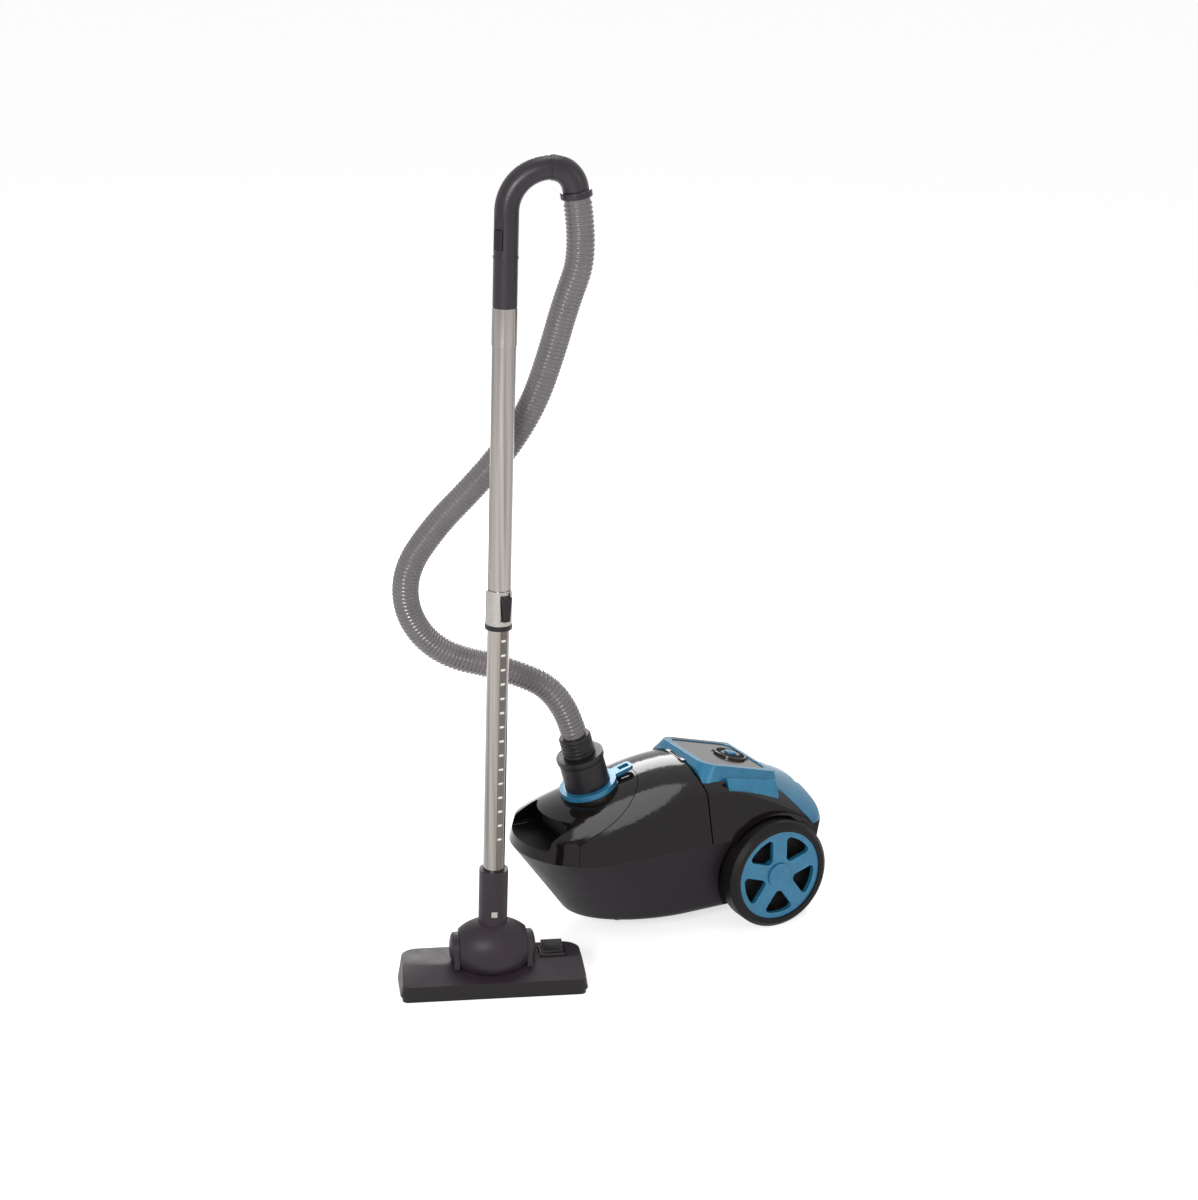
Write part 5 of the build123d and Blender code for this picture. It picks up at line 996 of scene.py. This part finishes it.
@dataclass
class FloorNozzle(SubAssembly):
    """Floor nozzle with its swivel neck, rocker and brush."""

    finishes: dict[str, Finish] = table(
        nozzle_housing=NOZZLE_ABS,
        nozzle_pedal=GRIP_PP,
        pedal_pin=PIN_STEEL,
        nozzle_sole=GRIP_PP,
        swivel_pins=PIN_STEEL,
        nozzle_neck=NOZZLE_ABS,
        neck_button=SLEEVE_ABS,
    )
    edges: dict[str, float] = table(nozzle_housing=1.6, nozzle_pedal=1.2)
    origin: tuple[float, float] = NOZZLE_SPOT
    turn: float = NOZZLE_TURN
    smooth_angle: float = 40.0
    low_wall_top: float = 25.5
    low_wall_tilt: float = 0.4
    brush_y: float = -30.0
    brush_half: float = 112.0
    brush_low: float = 0.4
    brush_high: float = 11.4
    bar_thick: float = 4.6
    bar_height: float = 3.0
    bar_edge: float = 0.4
    tuft_pitch: float = 4.0
    tuft_sides: int = 12
    tuft_radius: float = 1.7
    tuft_flare: float = 2.3
    tuft_sink: float = 1.0
    tip_height: float = 1.0
    tip_pinch: float = 0.6
    tip_cycle: int = 4
    ball_height: float = BALL_HEIGHT
    cheek_side: float = 58.4
    cap_radius: float = 23.0
    cap_rise: float = 6.0
    cap_sides: int = 64
    cap_rings: int = 32
    paddle_x: float = 92.0
    paddle_y: float = 20.0
    paddle_width: float = 32.0
    paddle_length: float = 27.0
    paddle_foot: float = 47.6
    paddle_rise: float = 10.0
    paddle_toe: float = 1.6
    paddle_edge: float = 0.9
    paddle_sharp: float = 0.5
    paddle_smooth: float = 35.0
    tread_inset: float = 4.0
    tread_depth: float = 1.2
    tread_facing: float = 0.5

    def directions(self) -> tuple[Vector, Vector]:
        """Gives the nozzle's own directions on the floor.

        Returns:
            Along the nozzle and towards its rear.
        """
        turn = math.radians(self.turn)
        along = Vector((math.cos(turn), math.sin(turn), 0.0))
        return along, Vector((-math.sin(turn), math.cos(turn), 0.0))

    def to_floor(self, across: float, behind: float, height: float) -> Vector:
        """Turns a place on the nozzle into a place in the room.

        Args:
            across: millimetres along the nozzle.
            behind: millimetres towards its rear.
            height: millimetres above the floor.

        Returns:
            The place in metres.
        """
        along, back = self.directions()
        return (Vector((*self.origin, height)) + along * across + back * behind) * MM

    def tuft(self) -> Object:
        """Models one tuft of bristles, split at its tip.

        Returns:
            The tuft, standing at the origin.
        """
        height = self.brush_high - self.brush_low - self.tuft_sink
        bpy.ops.mesh.primitive_cone_add(
            vertices=self.tuft_sides,
            radius1=self.tuft_flare * MM,
            radius2=self.tuft_radius * MM,
            depth=height * MM,
            location=(0.0, 0.0, (self.brush_low + height / 2) * MM),
        )
        tuft = bpy.context.object
        bpy.ops.object.transform_apply()
        for vertex in tuft.data.vertices:
            pinched = vertex.index % self.tip_cycle < self.tip_cycle / 2
            if vertex.co.z < self.tip_height * MM and pinched:
                vertex.co.x *= self.tip_pinch
                vertex.co.y *= self.tip_pinch
        return tuft

    def brush(self) -> None:
        """Sets a row of tufts into a bar."""
        length = 2 * self.brush_half
        size = (length, self.bar_thick, self.bar_height)
        bar = block("brush_tufts", size, self.brush_high - self.bar_height)
        round_edges(bar, self.bar_edge)
        tufts = [self.tuft()]
        for _ in range(int(length / self.tuft_pitch) - 2):
            tufts.append(link("tuft", tufts[0].data.copy()))
        activate(bar)
        for number, tuft in enumerate(tufts, start=1):
            tuft.location.x = (number * self.tuft_pitch - self.brush_half) * MM
            tuft.select_set(True)
        bpy.ops.object.join()
        smooth(bar, self.smooth_angle)
        place(bar, self.to_floor(0.0, self.brush_y, 0.0), *self.directions())
        settle(bar, BRISTLE, owner("brush_strip"))
        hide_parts("brush_strip")

    def cheek_caps(self) -> None:
        """Puts a domed cap on the outside of each cheek that holds the ball."""
        bpy.ops.mesh.primitive_uv_sphere_add(
            segments=self.cap_sides, ring_count=self.cap_rings, radius=1.0
        )
        first = bpy.context.object
        first.scale = (self.cap_rise * MM, self.cap_radius * MM, self.cap_radius * MM)
        bpy.ops.object.transform_apply()
        bpy.ops.object.mode_set(mode="EDIT")
        bpy.ops.mesh.select_all(action="SELECT")
        bpy.ops.mesh.bisect(
            plane_co=(0.0, 0.0, 0.0), plane_no=(1.0, 0.0, 0.0), use_fill=True, clear_inner=True
        )
        bpy.ops.object.mode_set(mode="OBJECT")
        smooth(first, self.smooth_angle)
        second = link("cheek_cap", first.data.copy())
        along = (self.to_floor(1.0, 0.0, 0.0) - self.to_floor(0.0, 0.0, 0.0)).normalized()
        for cap, hand, name in ((first, -1, "cheek_cap_left"), (second, 1, "cheek_cap_right")):
            cap.name = name
            spot = self.to_floor(hand * self.cheek_side, 0.0, self.ball_height)
            place(cap, spot, along * hand, Vector((0.0, 0.0, 1.0)))
            settle(cap, NOZZLE_ABS, owner("nozzle_housing"))

    def paddle(self) -> None:
        """Raises a wedge for the foot on the rocker, with a sunk tread."""
        size = (self.paddle_width, self.paddle_length, self.paddle_rise)
        wedge = block("rocker_paddle", size)
        for vertex in wedge.data.vertices:
            if vertex.co.z > 0 and vertex.co.y < 0:
                vertex.co.z = self.paddle_toe * MM
        select_faces(wedge, lambda centre, normal: normal.z > self.tread_facing)
        bpy.ops.mesh.inset(thickness=self.tread_inset * MM, depth=-self.tread_depth * MM)
        bpy.ops.object.mode_set(mode="OBJECT")
        round_edges(wedge, self.paddle_edge, self.paddle_sharp, segments=3)
        smooth(wedge, self.paddle_smooth)
        spot = self.to_floor(self.paddle_x, self.paddle_y, self.paddle_foot)
        place(wedge, spot, *self.directions())
        settle(wedge, GRIP_PP, owner("nozzle_pedal"))

    def on_low_wall(self, centre: Vector, normal: Vector) -> bool:
        """Tells whether a face belongs to the darker lower upright walls of the housing.

        Args:
            centre: middle of the face.
            normal: its normal.

        Returns:
            True for the lower part of the upright walls.
        """
        return centre.z / MM < self.low_wall_top and abs(normal.z) < self.low_wall_tilt

    def build(self) -> None:
        """Dresses the nozzle, gives it its brush, its caps and its paddle, and darkens its lower
        upright walls.
        """
        self.dress()
        self.brush()
        self.cheek_caps()
        self.paddle()
        tint(self.made["nozzle_housing"], NOZZLE_LOW_WALL_DARK, self.on_low_wall)


@dataclass
class SuctionHose:
    """Ribbed hose from the canister's cuff to the handle's cuff."""

    inlet: Triple = (-42.0, -23.35, 323.9)
    inlet_axis: Triple = (0.0, -0.27564, 0.96126)
    outlet: Triple = (128.72, -116.42, 1189.23)
    outlet_axis: Triple = (0.05483, 0.14282, -0.98823)
    end_run: float = 76.0
    crest_radius: float = 20.0
    valley_radius: float = 18.3
    rib_pitch: float = 6.4
    plain_end: float = 5.0
    sides: int = 32
    smooth_angle: float = 60.0
    spline_order: int = 3
    spline_steps: int = 40
    route: tuple[Triple, ...] = (
        (-75.0, -128.0, 440.0),
        (-105.0, -213.0, 463.0),
        (-113.0, -268.0, 525.0),
        (-97.0, -282.0, 607.0),
        (-59.0, -248.0, 684.0),
        (-21.0, -206.0, 746.0),
        (13.0, -168.0, 808.0),
        (45.0, -139.0, 880.0),
        (72.0, -125.0, 959.0),
        (99.0, -117.0, 1036.0),
    )
    # Share of a rib's pitch, and share of the rib's height there
    outline: tuple[tuple[float, float], ...] = (
        (0.0, 0.0), (0.18, 0.1), (0.32, 0.75), (0.45, 1.0), (0.6, 1.0), (0.73, 0.75), (0.87, 0.1),
    )
    # A direction that the hose never follows, from which its rings are turned
    steady: Triple = (-0.8755, 0.4833, 0.0)

    def centreline(self) -> list[Vector]:
        """Reads the smooth line of the hose from a spline through its route.

        Returns:
            Points along the hose in metres, from the canister to the handle.
        """
        inlet, outlet = Vector(self.inlet), Vector(self.outlet)
        points = [inlet, inlet + Vector(self.inlet_axis) * self.end_run]
        points += [Vector(point) for point in self.route]
        points += [outlet + Vector(self.outlet_axis) * self.end_run, outlet]
        line = bpy.data.curves.new("hose_line", "CURVE")
        line.dimensions = "3D"
        spline = line.splines.new("NURBS")
        spline.points.add(len(points) - 1)
        for control, point in zip(spline.points, points):
            control.co = (*(point * MM), 1.0)
        spline.order_u = self.spline_order
        spline.use_endpoint_u = True
        spline.resolution_u = self.spline_steps
        holder = link("hose_line", line)
        mesh = bpy.data.meshes.new_from_object(holder)
        path = [vertex.co.copy() for vertex in mesh.vertices]
        bpy.data.objects.remove(holder)
        bpy.data.meshes.remove(mesh)
        return path

    def rings(self, length: float) -> list[tuple[float, float]]:
        """Lists the rings of the ribbed wall.

        Args:
            length: length of the hose in metres.

        Returns:
            Run along the hose in metres, and radius there in millimetres.
        """
        pitch = self.rib_pitch * MM
        ribs = int((length - 2 * self.plain_end * MM) / pitch)
        start = (length - ribs * pitch) / 2
        depth = self.crest_radius - self.valley_radius
        rings = [(0.0, self.valley_radius)]
        for rib in range(ribs):
            for share, height in self.outline:
                run = start + (rib + share) * pitch
                rings.append((run, self.valley_radius + depth * height))
        return rings + [(start + ribs * pitch, self.valley_radius), (length, self.valley_radius)]

    def ring(self, mesh: BMesh, centre: Vector, tangent: Vector, radius: float) -> list[BMVert]:
        """Adds one ring of points to the wall.

        Args:
            mesh: mesh of the wall.
            centre: middle of the ring in metres.
            tangent: direction of the hose there.
            radius: radius of the ring in millimetres.

        Returns:
            The points of the ring.
        """
        steady = Vector(self.steady)
        across = (steady - tangent * steady.dot(tangent)).normalized()
        over = tangent.cross(across)
        points = []
        for step in range(self.sides):
            turn = 2 * math.pi * step / self.sides
            out = across * math.cos(turn) + over * math.sin(turn)
            points.append(mesh.verts.new(centre + out * radius * MM))
        return points

    def wall(self, path: list[Vector], runs: list[float]) -> Mesh:
        """Sweeps the ribbed wall along the centreline and closes its ends.

        Args:
            path: points of the centreline.
            runs: way along the hose to each of them, in metres.

        Returns:
            The mesh of the hose.
        """
        mesh = bmesh.new()
        last: list[BMVert] = []
        leg = 0
        for run, radius in self.rings(runs[-1]):
            while leg < len(runs) - 2 and runs[leg + 1] < run:
                leg += 1
            share = (run - runs[leg]) / (runs[leg + 1] - runs[leg])
            centre = path[leg].lerp(path[leg + 1], share)
            ahead, behind = path[min(leg + 2, len(path) - 1)], path[max(leg - 1, 0)]
            ring = self.ring(mesh, centre, (ahead - behind).normalized(), radius)
            if last:
                for step in range(self.sides):
                    after = (step + 1) % self.sides
                    mesh.faces.new((last[step], last[after], ring[after], ring[step]))
            else:
                mesh.faces.new(list(reversed(ring)))
            last = ring
        mesh.faces.new(last)
        data = bpy.data.meshes.new("suction_hose_ribbed")
        mesh.to_mesh(data)
        mesh.free()
        return data

    def build(self) -> None:
        """Makes the ribbed tube along the centreline."""
        path = self.centreline()
        runs = [0.0]
        for before, after in zip(path, path[1:]):
            runs.append(runs[-1] + (after - before).length)
        hose = link("suction_hose_ribbed", self.wall(path, runs))
        smooth(hose, self.smooth_angle)
        settle(hose, HOSE_PVC, "body")
        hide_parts("suction_hose")


@dataclass(frozen=True)
class Lamp:
    """One square soft lamp, with its place and width in metres and its power in watts."""

    name: str
    place: Triple
    size: float
    power: float


@dataclass
class Studio:
    """Floor, lights and camera of the picture."""

    camera_place: Triple = (3.737, -2.068, 1.962)
    azimuth: float = 61.1
    pitch: float = 18.3
    roll: float = 0.5
    lens: float = 90.0
    sensor: float = 36.0
    reach: float = 200.0
    floor_size: float = 120.0
    floor_colour: str = "#e4e4e4"
    floor_glow: float = 0.66
    sky: float = 0.4
    lamp_target: Triple = (0.0, 0.0, 0.4)
    lamps: tuple[Lamp, ...] = (
        Lamp("key_softbox", (3.0, -2.9, 2.0), size=1.0, power=105.0),
        Lamp("fill_softbox", (3.0, 1.6, 1.9), size=1.2, power=10.0),
        Lamp("rim_softbox", (-2.6, 1.2, 2.0), size=1.3, power=46.0),
        Lamp("top_softbox", (-0.4, 0.3, 3.4), size=1.4, power=22.0),
    )

    def camera(self) -> None:
        """Sets the camera where the photographer stood."""
        data = bpy.data.cameras.new("camera")
        data.lens = self.lens
        data.sensor_width = self.sensor
        data.clip_end = self.reach
        camera = link("camera", data)
        turn, drop = math.radians(self.azimuth), math.radians(self.pitch)
        level = math.cos(drop)
        ahead = Vector((-math.sin(turn) * level, math.cos(turn) * level, -math.sin(drop)))
        roll = Matrix.Rotation(math.radians(self.roll), 3, "Z")
        rolled = ahead.to_track_quat("-Z", "Y").to_matrix() @ roll
        camera.rotation_euler = rolled.to_euler()
        camera.location = self.camera_place
        bpy.context.scene.camera = camera

    def seen(self, tree: NodeTree) -> NodeSocket:
        """Gives 1 for rays that show the background and 0 for rays that light the object.

        Args:
            tree: node tree of the floor or the sky.

        Returns:
            The socket with that number.
        """
        ray = add_node(tree, "LightPath")
        mirrored = add_node(
            tree,
            "Math",
            {0: ray.outputs["Is Glossy Ray"], 1: ray.outputs["Is Transmission Ray"]},
            operation="MAXIMUM",
        )
        either = add_node(
            tree,
            "Math",
            {0: ray.outputs["Is Camera Ray"], 1: mirrored.outputs[0]},
            operation="MAXIMUM",
        )
        return either.outputs[0]

    def floor(self) -> None:
        """Lays a plain pale floor that keeps the object's shadow."""
        bpy.ops.mesh.primitive_plane_add(size=self.floor_size, location=(0.0, 0.0, 0.0))
        ground = bpy.context.object
        ground.name = "studio_floor"
        made = bpy.data.materials.new("paper_white_floor")
        made.use_nodes = True
        tree = made.node_tree
        tree.nodes.clear()
        matte = add_node(tree, "BsdfDiffuse", {"Color": to_linear(self.floor_colour)})
        lift = add_node(
            tree, "Math", {0: self.seen(tree), 1: self.floor_glow}, operation="MULTIPLY"
        )
        glow = add_node(tree, "Emission", {"Color": to_linear(WHITE), "Strength": lift.outputs[0]})
        both = add_node(tree, "AddShader", {0: matte.outputs[0], 1: glow.outputs[0]})
        add_node(tree, "OutputMaterial", {"Surface": both.outputs[0]})
        ground.data.materials.append(made)

    def lights(self) -> None:
        """Hangs large soft lamps round the object under an even pale sky."""
        world = bpy.data.worlds.new("studio_sky")
        world.use_nodes = True
        tree = world.node_tree
        tree.nodes.clear()
        level = add_node(
            tree, "MapRange", {"Value": self.seen(tree), "To Min": self.sky, "To Max": 1.0}
        )
        sky = add_node(
            tree, "Background", {"Color": to_linear(WHITE), "Strength": level.outputs[0]}
        )
        add_node(tree, "OutputWorld", {"Surface": sky.outputs[0]})
        bpy.context.scene.world = world
        for lamp in self.lamps:
            data = bpy.data.lights.new(lamp.name, "AREA")
            data.size = lamp.size
            data.energy = lamp.power
            hung = link(lamp.name, data)
            hung.location = lamp.place
            hung.visible_camera = False
            aim = Vector(self.lamp_target) - Vector(lamp.place)
            hung.rotation_euler = aim.to_track_quat("-Z", "Y").to_euler()

    def build(self) -> None:
        """Sets up the whole studio."""
        bpy.context.scene.view_settings.view_transform = "Standard"
        self.camera()
        self.floor()
        self.lights()


def main() -> None:
    """Builds the studio and the sub-assemblies in order."""
    logging.basicConfig(level=logging.INFO)
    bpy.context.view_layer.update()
    for group in (
        Studio(),
        SuctionHose(),
        CanisterShell(),
        ControlPod(),
        RollingGear(),
        HoseInlet(),
        DustChamber(),
        DriveUnit(),
        TelescopicWand(),
        Handle(),
        FloorNozzle(),
    ):
        group.build()
        LOG.info("%s is built", type(group).__name__)


if __name__ == "__main__":
    main()
